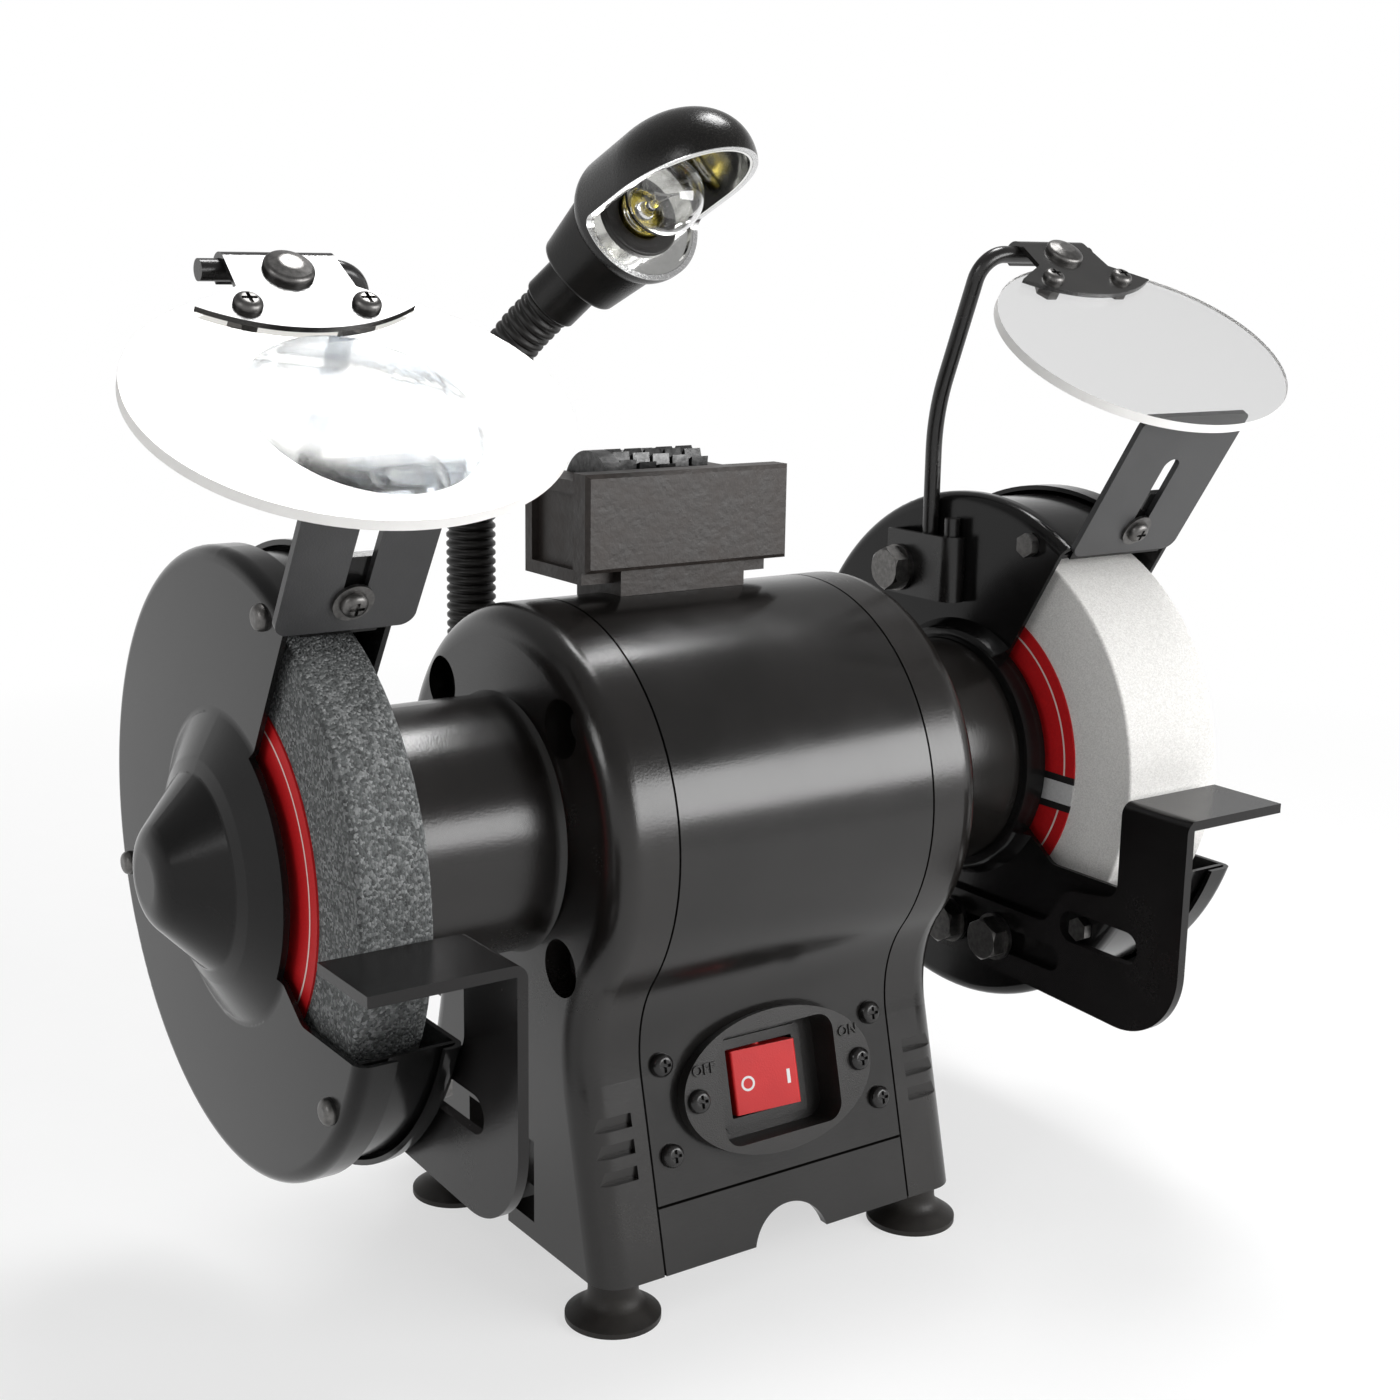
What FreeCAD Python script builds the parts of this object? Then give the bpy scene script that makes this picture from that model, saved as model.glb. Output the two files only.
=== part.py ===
import FreeCAD, Part
import math
import os

# A double-ended bench grinder with guarded wheels, tool rests, spark arrestors, eye shields,
# a lamp on a flexible arm and a wheel dresser stored on top of the motor.
# Millimetres. X runs along the spindle, -Y is the front with the switch, +Z is up.
# The origin is on the bench under the middle of the motor.

# Motor housing
spindle_height = 140.0
body_radius = 64.0
cover_length = 92.0
cover_wall = 3.0
waist_half_depth = 44.4
waist_drop = 60.0
waist_height = spindle_height - waist_drop
base_half_depth = 59.7
parting_height = 33.0
parting_gap = 0.8
seam_width = 0.7
seam_depth = 0.8
web_thickness = 3.0
arch_radius = 14.0
arch_centre_height = 10.0
bell_depth = 21.0
bell_wall = 4.0
bell_floor = 6.0
bell_edge_radius = 9.0
bell_rib_count = 3
bell_rib_pitch = 7.5
bell_rib_height = 4.0
bell_rib_depth = 1.2
bell_rib_margin = 5.0
bell_rib_low = 43.0
bench_pocket_half = 20.0
bench_pocket_top = 46.0
bench_pocket_depth = 11.0
bench_slot_width = 8.5
bench_slot_reach = 13.0
lug_length = 12.0
lug_thickness = 6.0
lug_half_height = 5.0

# Necks and bearings
neck_radius = 38.0
neck_wall = 5.0
neck_fillet = 6.0
bearing_wall = 16.0
bearing_outer_radius = 17.5
bearing_inner_radius = 7.5
bearing_width = 11.0
bearing_land = 3.0
bearing_ring = 2.6
bearing_ball_radius = 2.2
bearing_ball_count = 9
seal_clearance = 1.0

# Feet
foot_height = 14.0
foot_radius = 14.2
foot_neck_radius = 7.5
foot_rim = 1.6
foot_spacing_x = 114.0
foot_spacing_y = 97.0

# Long bolts through both end bells
tie_bolt_offset = 35.0
tie_bolt_radius = 2.5
tie_head_radius = 4.5
tie_head_height = 4.0
tie_recess_radius = 8.5
tie_recess_depth = 10.0
tie_boss_radius = 11.0

# Stator, rotor and capacitor
stator_radius = 58.0
stator_length = 60.0
rotor_radius = 30.0
air_gap = 0.5
winding_length = 12.0
winding_inner_radius = 34.0
winding_outer_radius = 41.0
capacitor_length = 48.0
capacitor_depth = 20.0
capacitor_height = 32.0
capacitor_y = 22.0
capacitor_corner = 2.5
blade_height = 7.0
blade_half_width = 3.0
blade_half_sheet = 0.4

# Switch on the sloping front
switch_height = 61.0
bezel_half_width = 34.8
bezel_half_height = 21.5
bezel_proud = 4.0
bezel_wall = 1.5
recess_width = 43.4
recess_height = 33.0
recess_depth = 11.0
recess_corner = 5.5
case_width = 28.0
case_height = 24.0
case_depth = 22.0
case_wall = 1.5
case_lip = 1.5
rocker_width = 22.4
rocker_height = 19.6
rocker_tilt = 16.0
rocker_rise = 2.2
rocker_skirt = 1.0
rocker_belly = 5.0
rocker_pin_radius = 1.5
rocker_pin_clearance = 0.06
bezel_screw_offset = 30.0
cover_screw_x = 39.0
cover_screw_high = 73.0
cover_screw_low = 47.0
screw_head_radius = 3.6
screw_head_height = 2.4
screw_radius = 1.9
screw_length = 8.0

# Spindle
rotor_seat_radius = 10.0
rotor_seat_margin = 5.0
wheel_bore_radius = 6.35
flange_radius = 33.0
flange_sheet = 1.6
flange_hub_radius = 12.0
flange_hub_depth = 3.4
nut_flats = 19.0
nut_length = 10.0
thread_stickout = 2.5

# Wheels
wheel_radius = 75.0
left_wheel_width = 20.0
right_wheel_width = 40.0
wheel_edge = 1.0
blotter_radius = 51.0
blotter_sheet = 0.6
wheel_inner_gap = 3.8
wheel_outer_gap = 2.8

# Guards
left_guard_face = 122.0
right_guard_face = 112.8
guard_radius = 87.0
guard_sheet = 1.5
guard_edge_radius = 4.0
guard_inner_lip = 6.0
guard_cover_lip = 9.0
rim_radius = 84.0
guard_hub_radius = 41.0
guard_bore_radius = 20.0
opening_top_angle = 121.5
opening_shelf_drop = 30.0
opening_shelf_start = 48.0
opening_hub_drop = 21.5
opening_shelf_corner = 6.0
collar_length = 7.0
collar_width = 6.0
dome_height = 22.5
dome_radius = 27.0
dome_shelf = 8.0
dome_step = 4.0
bump_radius = 43.0
guard_screw_radius = 2.0
guard_screw_circle = 79.5
guard_screw_angles = (-14.0, 112.7, 216.5)
guard_nut_flats = 7.0
guard_nut_length = 3.2

# Tool rests
rest_sheet = 3.0
rest_table_drop = 1.0
rest_table_height = spindle_height - rest_table_drop
rest_table_width = 42.0
rest_wheel_gap = 5.0
rest_table_depth = 27.0
rest_corner_radius = 24.0
rest_arm_end = 4.8
rest_bend_radius = 4.0
rest_slot_front = -52.0
rest_slot_rear = -0.4
rest_bolt_drop = 60.5
rest_bolt_height = spindle_height - rest_bolt_drop
rest_arm_low = 10.5
rest_arm_high = 11.5
rest_belly = 4.5
rest_arm_bottom = rest_bolt_height - rest_arm_low
rest_arm_top = rest_bolt_height + rest_arm_high
rest_bottom = rest_arm_bottom - rest_belly
rest_notch_radius = 6.0
rest_throat_radius = 7.0
rest_bolt_first = -4.5
rest_bolt_pitch = 22.0
rest_bolt_radius = 4.0
rest_slot_clearance = 0.4
rest_window_front = -90.0
rest_window_rear = -56.0
rest_window_clearance = 1.2
bolt_flats = 13.0
bolt_head = 5.3
washer_radius = 8.0
washer_sheet = 1.6

# Spark arrestors
arrestor_angle = 122.0
arrestor_sheet = 2.0
arrestor_bottom = 85.3
arrestor_length = 52.5
left_arrestor_width = 38.0
right_arrestor_width = 46.0
arrestor_corner = 4.0
arrestor_slot_width = 6.5
arrestor_slot_length = 28.0
arrestor_screw_circle = 95.0
arrestor_screw_radius = 2.0
arrestor_tab_length = 25.0
arrestor_tab_sheet = 2.0
arrestor_tab_margin = 3.0
arrestor_washer_radius = 5.5
arrestor_washer_sheet = 1.0

# Shield rods and their clamps
rod_radius = 2.75
rod_clearance = 0.08
rod_leg_y = 15.5
rod_stub_y = 4.5
rod_knee_radius = 70.0
rod_top_y = -4.6
rod_top_radius = 9.0
left_rod_reach = 44.0
right_rod_reach = 47.0
clamp_sheet = 2.0
clamp_rear_y = 32.0
clamp_bolt_y = 25.5
clamp_rise = 59.0
clamp_bolt_height = spindle_height + clamp_rise
clamp_low = 9.0
clamp_high = 13.0
clamp_bottom = clamp_bolt_height - clamp_low
clamp_top = clamp_bolt_height + clamp_high
rod_turn_rise = 3.0
rod_turn_height = clamp_bolt_height + rod_turn_rise
rod_stub_stickout = 6.0
rod_stub_top = clamp_top + rod_stub_stickout
rod_knee_rise = 40.7
rod_knee_height = clamp_top + rod_knee_rise
rod_top_rise = 52.1
rod_top_height = rod_knee_height + rod_top_rise
left_clamp_lean = 11.9
left_rod_extension = 2.2
clamp_bolt_radius = 3.0

# Eye shields
left_shield_tilt = 35.0
right_shield_tilt = 33.0
shield_half_width = 55.0
shield_half_depth = 42.0
shield_centre = 53.0
shield_sheet = 3.0
left_shield_shift = 24.0
right_shield_shift = 28.5
bracket_sheet = 1.5
bracket_top_half = 14.6
bracket_tip_half = 28.4
bracket_tip_reach = 20.0
bracket_reach = 28.5
bracket_neck_half = 15.5
bracket_neck_reach = 12.3
bracket_screw_half = 15.3
bracket_screw_reach = 19.8
knob_radius = 6.4
knob_height = 3.0
knob_reach = 6.2
lens_radius = 28.5
lens_height = 4.0
lens_reach = 58.0

# Lamp on its flexible arm
arm_x = -36.0
arm_y = 73.1
arm_radius = 8.0
arm_groove = 0.9
arm_bore = 4.5
arm_rib_pitch = 2.9
arm_rise = 91.3
arm_straight_top = spindle_height + arm_rise
arm_bend_radius = 68.3
arm_turn = 48.0
arm_heading = -57.6
arm_end_straight = 16.0
mount_sheet = 4.0
mount_half_width = 13.0
mount_bottom = 40.0
mount_shelf = 58.0
mount_margin = 12.0
arm_nut_radius = 11.0
arm_nut_height = 14.0
lamp_neck_radius = 9.2
lamp_neck_length = 5.0
lamp_neck_overlap = 8.0
lamp_neck_clearance = 0.3
lamp_socket_radius = 16.4
lamp_socket_root = 13.6
lamp_socket_length = 26.0
lamp_socket_flare = 16.0
lamp_socket_wall = 2.0
hood_reach = 32.4
hood_heading = -87.8
hood_rise = 23.7
hood_radius = 20.8
hood_back = 8.5
hood_back_rounding = 7.5
hood_barrel = 19.2
hood_dome = 32.0
hood_wall = 1.6
hood_cut = 2.0
hood_notch = 3.0
reflector_sheet = 0.8
reflector_gap = 0.1
reflector_lip = 0.9
holder_length = 6.0
holder_wall = 1.5
holder_radius = 9.6
holder_ring_radius = 13.2
bulb_radius = 11.8
bulb_neck_radius = 7.0
bulb_centre = 14.6
bulb_base_radius = 7.4
bulb_base_length = 8.0
bulb_base_stickout = 2.2

# Wheel dresser and its holder on top of the motor
dresser_x = -4.5
dresser_width = 73.0
dresser_front = -6.5
slab_thickness = 8.0
slab_lift = 4.5
slab_height = 29.0
block_width = 67.0
block_depth = 33.0
block_lift = 3.5
block_bottom = spindle_height + body_radius + block_lift
block_height = 30.5
block_top = block_bottom + block_height
slab_bottom = block_bottom + slab_lift
block_panel_depth = 2.5
block_panel_margin = 4.0
holder_width = 45.0
holder_front = -3.0
holder_depth = 25.0
tongue_width = 20.0
tongue_depth = 10.0
tongue_height = 4.0
tongue_clearance = 0.3
cutter_radius = 14.0
cutter_root = 11.0
cutter_points = 18
cutter_width = 6.0
cutter_gap = 0.6
cutter_count = 6
cutter_y = 21.0
cutter_rise = 23.5
cutter_height = block_bottom + cutter_rise
cutter_clearance = 1.2
cutter_pin_radius = 4.0
cutter_pin_clearance = 0.06
cutter_pin_seat = 4.0

# Cord inlet at the back of the base
gland_x = 26.0
gland_height = 24.0
gland_radius = 8.0
gland_bore = 4.0
gland_length = 9.0

# Fits shared by several pieces
fit_clearance = 0.05
part_clearance = 0.25
screw_hole_clearance = 0.15

V = FreeCAD.Vector
UP = V(0, 0, 1)
ALONG = V(1, 0, 0)
ORIGIN = V(0, 0, 0)
half_cover = cover_length / 2
bell_face = half_cover + bell_depth
waist_arc_radius = (
    (waist_half_depth ** 2 + (spindle_height - waist_height) ** 2 - body_radius ** 2)
    / (2 * (body_radius - waist_half_depth))
)


def outline_face(corners, place):
    """Face from corners (a, b, radius), rounded by that radius; place maps (a, b) to a point."""
    joints = []
    for index, (a, b, radius) in enumerate(corners):
        before = corners[index - 1]
        after = corners[(index + 1) % len(corners)]
        corner = V(a, b, 0)
        back = (V(before[0], before[1], 0) - corner).normalize()
        ahead = (V(after[0], after[1], 0) - corner).normalize()
        if radius <= 0:
            joints.append((corner, None, corner))
            continue
        half = back.getAngle(ahead) / 2
        reach = radius / math.tan(half)
        middle = (back + ahead).normalize() * (radius / math.sin(half) - radius)
        joints.append((corner + back * reach, corner + middle, corner + ahead * reach))
    edges = []
    for index, (start, middle, end) in enumerate(joints):
        follow = joints[(index + 1) % len(joints)][0]
        if middle is not None:
            arc_points = [place(p.x, p.y) for p in (start, middle, end)]
            edges.append(Part.Arc(*arc_points).toShape())
        if (follow - end).Length > 1e-6:
            edges.append(Part.LineSegment(place(end.x, end.y), place(follow.x, follow.y)).toShape())
    return Part.Face(Part.Wire(edges))


def at_x(x):
    """Maps (y, z) to a point in the plane across the spindle at x."""
    return lambda y, z: V(x, y, z)


def about_axis(x):
    """Maps (y, z) measured from the spindle to a point in the plane at x."""
    return lambda y, z: V(x, y, spindle_height + z)


def flat(a, b):
    return V(a, b, 0)


def lathe(corners):
    """Solid turned about the spindle from corners (x, radius, rounding)."""
    face = outline_face(corners, lambda x, r: V(x, 0, spindle_height + r))
    return face.revolve(V(0, 0, spindle_height), ALONG, 360)


def turned(corners):
    """Solid turned about the local Z axis from corners (radius, z, rounding)."""
    face = outline_face(corners, lambda r, z: V(r, 0, z))
    return face.revolve(ORIGIN, UP, 360)


def rod_x(radius, x0, x1, y=0.0, z=spindle_height):
    return Part.makeCylinder(radius, x1 - x0, V(x0, y, z), ALONG)


def block(x0, x1, y0, y1, z0, z1):
    return Part.makeBox(x1 - x0, y1 - y0, z1 - z0, V(x0, y0, z0))


def fused(pieces):
    return pieces[0].multiFuse(list(pieces[1:])).removeSplitter()


def group(pieces):
    return Part.makeCompound(list(pieces))


def hexagon(flats, length):
    """Hexagonal prism on the local Z axis, with its outer corners turned down a little."""
    corner = flats / math.sqrt(3)
    points = [
        (corner * math.cos(math.radians(60 * k)), corner * math.sin(math.radians(60 * k)), 0)
        for k in range(6)
    ]
    prism = outline_face(points, flat).extrude(V(0, 0, length))
    turn = turned(
        [(0, 0, 0), (corner, 0, 0), (corner, length * 0.85, 0), (flats / 2, length, 0), (0, length, 0)]
    )
    return prism.common(turn)


def aimed(shape, point, direction):
    """Copy of a shape made on the local Z axis, moved to a point and turned to a direction."""
    copy = shape.copy()
    turn = FreeCAD.Placement(point, FreeCAD.Rotation(UP, direction))
    copy.Placement = turn.multiply(copy.Placement)
    return copy


def framed(shape, point, across, upward, outward):
    """Copy of a shape whose local X, Y and Z axes turn to three directions at a point."""
    copy = shape.copy()
    turn = FreeCAD.Placement(point, FreeCAD.Rotation(across, upward, outward, "ZXY"))
    copy.Placement = turn.multiply(copy.Placement)
    return copy


def pan_screw(length):
    """Cross-recessed screw: its head stands on the local origin and its shank runs down."""
    head = turned(
        [
            (0, 0, 0),
            (screw_head_radius, 0, 0),
            (screw_head_radius, screw_head_height, screw_head_height * 0.8),
            (0, screw_head_height, 0),
        ]
    )
    shank = Part.makeCylinder(screw_radius, length, V(0, 0, -length))
    arm = screw_head_radius * 0.55
    width = screw_head_radius * 0.13
    depth = screw_head_height * 0.6
    slot = block(-arm, arm, -width, width, depth, screw_head_height + 1)
    cross = slot.fuse(slot.rotated(ORIGIN, UP, 90))
    return head.fuse(shank).cut(cross).removeSplitter()


def hex_bolt(shank_radius, grip):
    """Hex bolt with a washer: the washer stands on the local origin, the shank runs down."""
    washer = Part.makeCylinder(washer_radius, washer_sheet)
    head = hexagon(bolt_flats, bolt_head).translated(V(0, 0, washer_sheet))
    shank = Part.makeCylinder(shank_radius, grip, V(0, 0, -grip))
    return fused([washer, head, shank])


class Side:
    """Places along the spindle on one side, as distances from the middle of the motor."""

    def __init__(self, name, sign, guard_face, wheel_width):
        self.name = name
        self.sign = sign
        self.guard_face = guard_face
        self.plate_back = guard_face + guard_sheet
        self.wheel_start = self.plate_back + wheel_inner_gap
        self.wheel_end = self.wheel_start + wheel_width
        self.cover_inside = self.wheel_end + wheel_outer_gap
        self.cover_face = self.cover_inside + guard_sheet
        self.flange_start = self.wheel_start - blotter_sheet - flange_hub_depth
        self.nut_start = self.wheel_end + blotter_sheet + flange_hub_depth
        self.shaft_end = self.nut_start + nut_length + thread_stickout
        self.bearing_start = guard_face - bearing_land - bearing_width

    def placed(self, shape):
        """Shapes are made on the +X side and mirrored to the other."""
        if self.sign > 0:
            return shape
        return shape.mirror(ORIGIN, ALONG)


left = Side("left", -1, left_guard_face, left_wheel_width)
right = Side("right", 1, right_guard_face, right_wheel_width)
sides = (left, right)


def flank_tangent():
    """Angle below level, about the waist arc's centre, where the flank leaves the arc."""
    reach_y = waist_half_depth + waist_arc_radius - base_half_depth
    reach_z = waist_height - foot_height
    slope = math.atan2(reach_z, reach_y)
    return slope - math.acos(waist_arc_radius / math.hypot(reach_y, reach_z))


lean = flank_tangent()


def flank_at(height, inset=0.0):
    """Depth in front of the spindle of the straight sloping front at a height."""
    return base_half_depth - inset / math.cos(lean) - (height - foot_height) * math.tan(lean)


def skin_at(height):
    """Depth and outward lean of the housing's front at a height on its flank or waist arc."""
    arc_end = waist_height - waist_arc_radius * math.sin(lean)
    if height <= arc_end:
        return flank_at(height), lean
    drop = math.asin((waist_height - height) / waist_arc_radius)
    depth = waist_half_depth + waist_arc_radius * (1 - math.cos(drop))
    return depth, drop


def housing_face(x, inset):
    """Cross-section of the motor housing: round top, drawn-in waist and spreading flanks."""
    arc = waist_arc_radius + inset
    round_radius = body_radius - inset
    centre_y = waist_half_depth + waist_arc_radius
    rise = spindle_height - waist_height
    span = math.hypot(centre_y, rise)
    shoulder = (centre_y * round_radius / span, spindle_height - rise * round_radius / span)
    top_angle = math.atan2(rise, centre_y)
    middle = (top_angle - lean) / 2
    waist = (centre_y - arc * math.cos(middle), waist_height + arc * math.sin(middle))
    flank = (centre_y - arc * math.cos(lean), waist_height - arc * math.sin(lean))
    foot = (flank_at(foot_height, inset), foot_height)
    place = at_x(x)
    front = [place(-y, z) for y, z in (shoulder, waist, flank, foot)]
    rear = [place(y, z) for y, z in (shoulder, waist, flank, foot)]
    crown = place(0, spindle_height + round_radius)
    edges = [
        Part.Arc(front[0], front[1], front[2]).toShape(),
        Part.LineSegment(front[2], front[3]).toShape(),
        Part.LineSegment(front[3], rear[3]).toShape(),
        Part.LineSegment(rear[3], rear[2]).toShape(),
        Part.Arc(rear[2], rear[1], rear[0]).toShape(),
        Part.Arc(rear[0], crown, front[0]).toShape(),
    ]
    return Part.Face(Part.Wire(edges))


def housing_slab(x0, x1, inset):
    return housing_face(x0, inset).extrude(V(x1 - x0, 0, 0))


def band(low, high):
    """Wide box between two heights, for keeping or cutting a level of the housing."""
    reach = 4 * body_radius
    return block(-reach, reach, -reach, reach, low, high)


def switch_frame(shape, lift=0.0):
    """Moves a shape from the switch panel's own axes to the sloping front."""
    outward = V(0, -math.cos(lean), math.sin(lean))
    upward = V(0, math.sin(lean), math.cos(lean))
    point = V(0, -flank_at(switch_height), switch_height) + outward * lift
    return framed(shape, point, ALONG, upward, outward)


def rounded_box(width, height, corner, z0, z1):
    """Upright prism of a rounded rectangle about the local Z axis."""
    a = width / 2
    b = height / 2
    corners = [(-a, -b, corner), (a, -b, corner), (a, b, corner), (-a, b, corner)]
    return outline_face(corners, flat).extrude(V(0, 0, z1 - z0)).translated(V(0, 0, z0))


def cover_screw_points():
    """Places and outward directions of the screws through the front and back of the cover."""
    places = []
    for facing in (-1, 1):
        for height in (cover_screw_high, cover_screw_low):
            depth, slope = skin_at(height)
            outward = V(0, facing * math.cos(slope), math.sin(slope))
            for x in (-cover_screw_x, cover_screw_x):
                places.append((V(x, facing * depth, height), outward))
    return places


def screw_seat():
    """Lift that keeps a flat screw head just clear of the hollow waist."""
    return screw_head_radius ** 2 / (2 * waist_arc_radius) + fit_clearance


def screw_holes():
    hole = Part.makeCylinder(
        screw_radius + screw_hole_clearance, 2 * screw_length, V(0, 0, -screw_length)
    )
    return [aimed(hole, point, outward) for point, outward in cover_screw_points()]


def seam(x):
    """Shallow groove round the housing where two castings meet."""
    x0 = x - seam_width / 2
    x1 = x + seam_width / 2
    return housing_slab(x0, x1, -seam_depth).cut(housing_slab(x0, x1, seam_depth))


def motor_cover():
    outer = housing_slab(-half_cover, half_cover, 0.0)
    inner = housing_slab(-half_cover - 1, half_cover + 1, cover_wall)
    shell = outer.cut(inner).common(band(parting_height + parting_gap, spindle_height + 2 * body_radius))
    recess = rounded_box(
        recess_width + 2 * bezel_wall + 2 * part_clearance,
        recess_height + 2 * bezel_wall + 2 * part_clearance,
        recess_corner + bezel_wall,
        -recess_depth - cover_wall,
        recess_depth,
    )
    bezel_bite = Part.makeCylinder(
        screw_radius + screw_hole_clearance, 2 * screw_length, V(0, 0, -screw_length)
    )
    cuts = [switch_frame(recess), seam(-half_cover), seam(half_cover)]
    cuts += [
        switch_frame(bezel_bite.translated(V(sign * bezel_screw_offset, 0, 0))) for sign in (-1, 1)
    ]
    return shell.cut(cuts + screw_holes()).removeSplitter()


def base_apron():
    outer = housing_slab(-half_cover, half_cover, 0.0)
    inner = housing_slab(-half_cover - 1, half_cover + 1, cover_wall)
    low = band(0, parting_height)
    walls = outer.cut(inner).common(low)
    web = inner.common(block(-half_cover, half_cover, -base_half_depth, base_half_depth,
                             parting_height - web_thickness, parting_height))
    arch = Part.makeCylinder(
        arch_radius, base_half_depth, V(0, 0, arch_centre_height), V(0, -1, 0)
    )
    inlet = Part.makeCylinder(gland_bore + part_clearance, 4 * cover_wall, V(0, 0, -2 * cover_wall))
    seams = [seam(-half_cover), seam(half_cover)]
    return fused([walls, web]).cut([arch, aimed(inlet, *gland_axis())] + seams)


def tie_bolt_places():
    return [
        (y * tie_bolt_offset, spindle_height + z * tie_bolt_offset) for y in (-1, 1) for z in (-1, 1)
    ]


def bell_ribs():
    """Shallow level grooves in the front and back of a bell's foot."""
    grooves = []
    for facing in (-1, 1):
        for index in range(bell_rib_count):
            low = bell_rib_low + index * bell_rib_pitch
            depth = flank_at(low + bell_rib_height / 2)
            near = facing * (depth - bell_rib_depth)
            far = facing * (depth + bell_edge_radius)
            grooves.append(
                block(
                    half_cover + bell_rib_margin,
                    bell_face + 1,
                    min(near, far),
                    max(near, far),
                    low,
                    low + bell_rib_height,
                )
            )
    return grooves


def neck_body(side):
    corners = [
        (bell_face - bell_wall, 0, 0),
        (bell_face - bell_wall, neck_radius + neck_fillet, 0),
        (bell_face, neck_radius + neck_fillet, 0),
        (bell_face, neck_radius, neck_fillet),
        (side.guard_face, neck_radius, 0),
        (side.guard_face, 0, 0),
    ]
    return lathe(smooth_neck(corners))


def smooth_neck(corners):
    """The fillet starts on the bell's face, so its level leg is dropped from the outline."""
    return [corner for corner in corners if corner[:2] != (bell_face, neck_radius + neck_fillet)]


def end_bell(side):
    shell = housing_slab(half_cover, bell_face, 0.0)
    rim = [
        edge for edge in shell.Edges
        if all(abs(v.X - bell_face) < 1e-6 for v in edge.Vertexes)
        and not all(abs(v.Z - foot_height) < 1e-6 for v in edge.Vertexes)
    ]
    shell = shell.makeFillet(bell_edge_radius, rim)
    cavity = housing_slab(half_cover - 1, bell_face - bell_wall, bell_wall)
    cavity = cavity.common(band(foot_height + bell_floor, 2 * spindle_height))
    pocket_wall = block(
        bell_face - bench_pocket_depth - bell_wall,
        bell_face - bell_wall,
        -bench_pocket_half - bell_wall,
        bench_pocket_half + bell_wall,
        foot_height,
        bench_pocket_top + bell_wall,
    )
    bosses = [
        rod_x(tie_boss_radius, half_cover, bell_face - bell_wall, y, z) for y, z in tie_bolt_places()
    ]
    bosses = [boss.common(housing_slab(half_cover, bell_face, 0.0)) for boss in bosses]
    solid = fused([shell.cut(cavity), pocket_wall, neck_body(side)] + bosses + bell_lugs())
    pocket = block(
        bell_face - bench_pocket_depth,
        bell_face + 1,
        -bench_pocket_half,
        bench_pocket_half,
        foot_height + bell_floor,
        bench_pocket_top,
    )
    slot = block(
        bell_face - bench_slot_reach + bench_slot_width / 2,
        bell_face + 1,
        -bench_slot_width / 2,
        bench_slot_width / 2,
        0,
        foot_height + bell_floor + 1,
    )
    slot_end = Part.makeCylinder(
        bench_slot_width / 2,
        foot_height + bell_floor + 1,
        V(bell_face - bench_slot_reach + bench_slot_width / 2, 0, 0),
    )
    wall_start = side.guard_face - bearing_wall
    bore = rod_x(neck_radius - neck_wall, half_cover - 1, wall_start)
    seat = rod_x(bearing_outer_radius + fit_clearance, wall_start - 1, side.bearing_start + bearing_width)
    seal = rod_x(bearing_inner_radius + seal_clearance, wall_start, side.guard_face + 1)
    cuts = [pocket, slot, slot_end, bore, seat, seal, seam(half_cover)] + bell_ribs()
    for y, z in tie_bolt_places():
        cuts.append(rod_x(tie_bolt_radius + screw_hole_clearance, half_cover - 1, bell_face, y, z))
        cuts.append(rod_x(tie_recess_radius, bell_face - tie_recess_depth, bell_face + 1, y, z))
    return solid.cut(cuts + screw_holes()).removeSplitter()


def bell_lugs():
    """Lugs under the cover's edge that its screws bite into."""
    start = half_cover - lug_length
    end = half_cover + bell_wall
    ring = housing_slab(start, end, cover_wall + fit_clearance)
    ring = ring.cut(housing_slab(start, end, cover_wall + lug_thickness))
    lugs = []
    for height in (cover_screw_high, cover_screw_low):
        strip = ring.common(band(height - lug_half_height, height + lug_half_height))
        lugs += strip.Solids
    return lugs


def rubber_feet():
    profile = [
        (0, 0, 0),
        (foot_radius, 0, 0),
        (foot_radius, foot_rim, 0),
        (foot_neck_radius, foot_height * 0.45, foot_height * 0.35),
        (foot_neck_radius, foot_height, 0),
        (0, foot_height, 0),
    ]
    foot = turned(profile)
    places = [(x * foot_spacing_x / 2, y * foot_spacing_y / 2) for x in (-1, 1) for y in (-1, 1)]
    return group([foot.translated(V(x, y, 0)) for x, y in places])


def tie_bolts():
    """Two half-length bolts on each line, so a head shows in the recess of each bell."""
    seat = bell_face - tie_recess_depth
    bolts = []
    for y, z in tie_bolt_places():
        rod = rod_x(tie_bolt_radius, -seat, seat, y, z)
        heads = [
            rod_x(tie_head_radius, seat, seat + tie_head_height, y, z),
            rod_x(tie_head_radius, -seat - tie_head_height, -seat, y, z),
        ]
        bolts.append(fused([rod] + heads))
    return group(bolts)


def stator_core():
    half = stator_length / 2
    core = rod_x(stator_radius, -half, half)
    cuts = [rod_x(rotor_radius + air_gap, -half - 1, half + 1)]
    for y, z in tie_bolt_places():
        cuts.append(rod_x(tie_bolt_radius + part_clearance, -half - 1, half + 1, y, z))
    return core.cut(cuts)


def stator_windings():
    half = stator_length / 2
    coils = []
    for start in (half, -half - winding_length):
        corners = [
            (start, winding_inner_radius, winding_length / 4),
            (start, winding_outer_radius, winding_length / 4),
            (start + winding_length, winding_outer_radius, winding_length / 4),
            (start + winding_length, winding_inner_radius, winding_length / 4),
        ]
        coils.append(lathe(corners))
    return group(coils)


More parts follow.
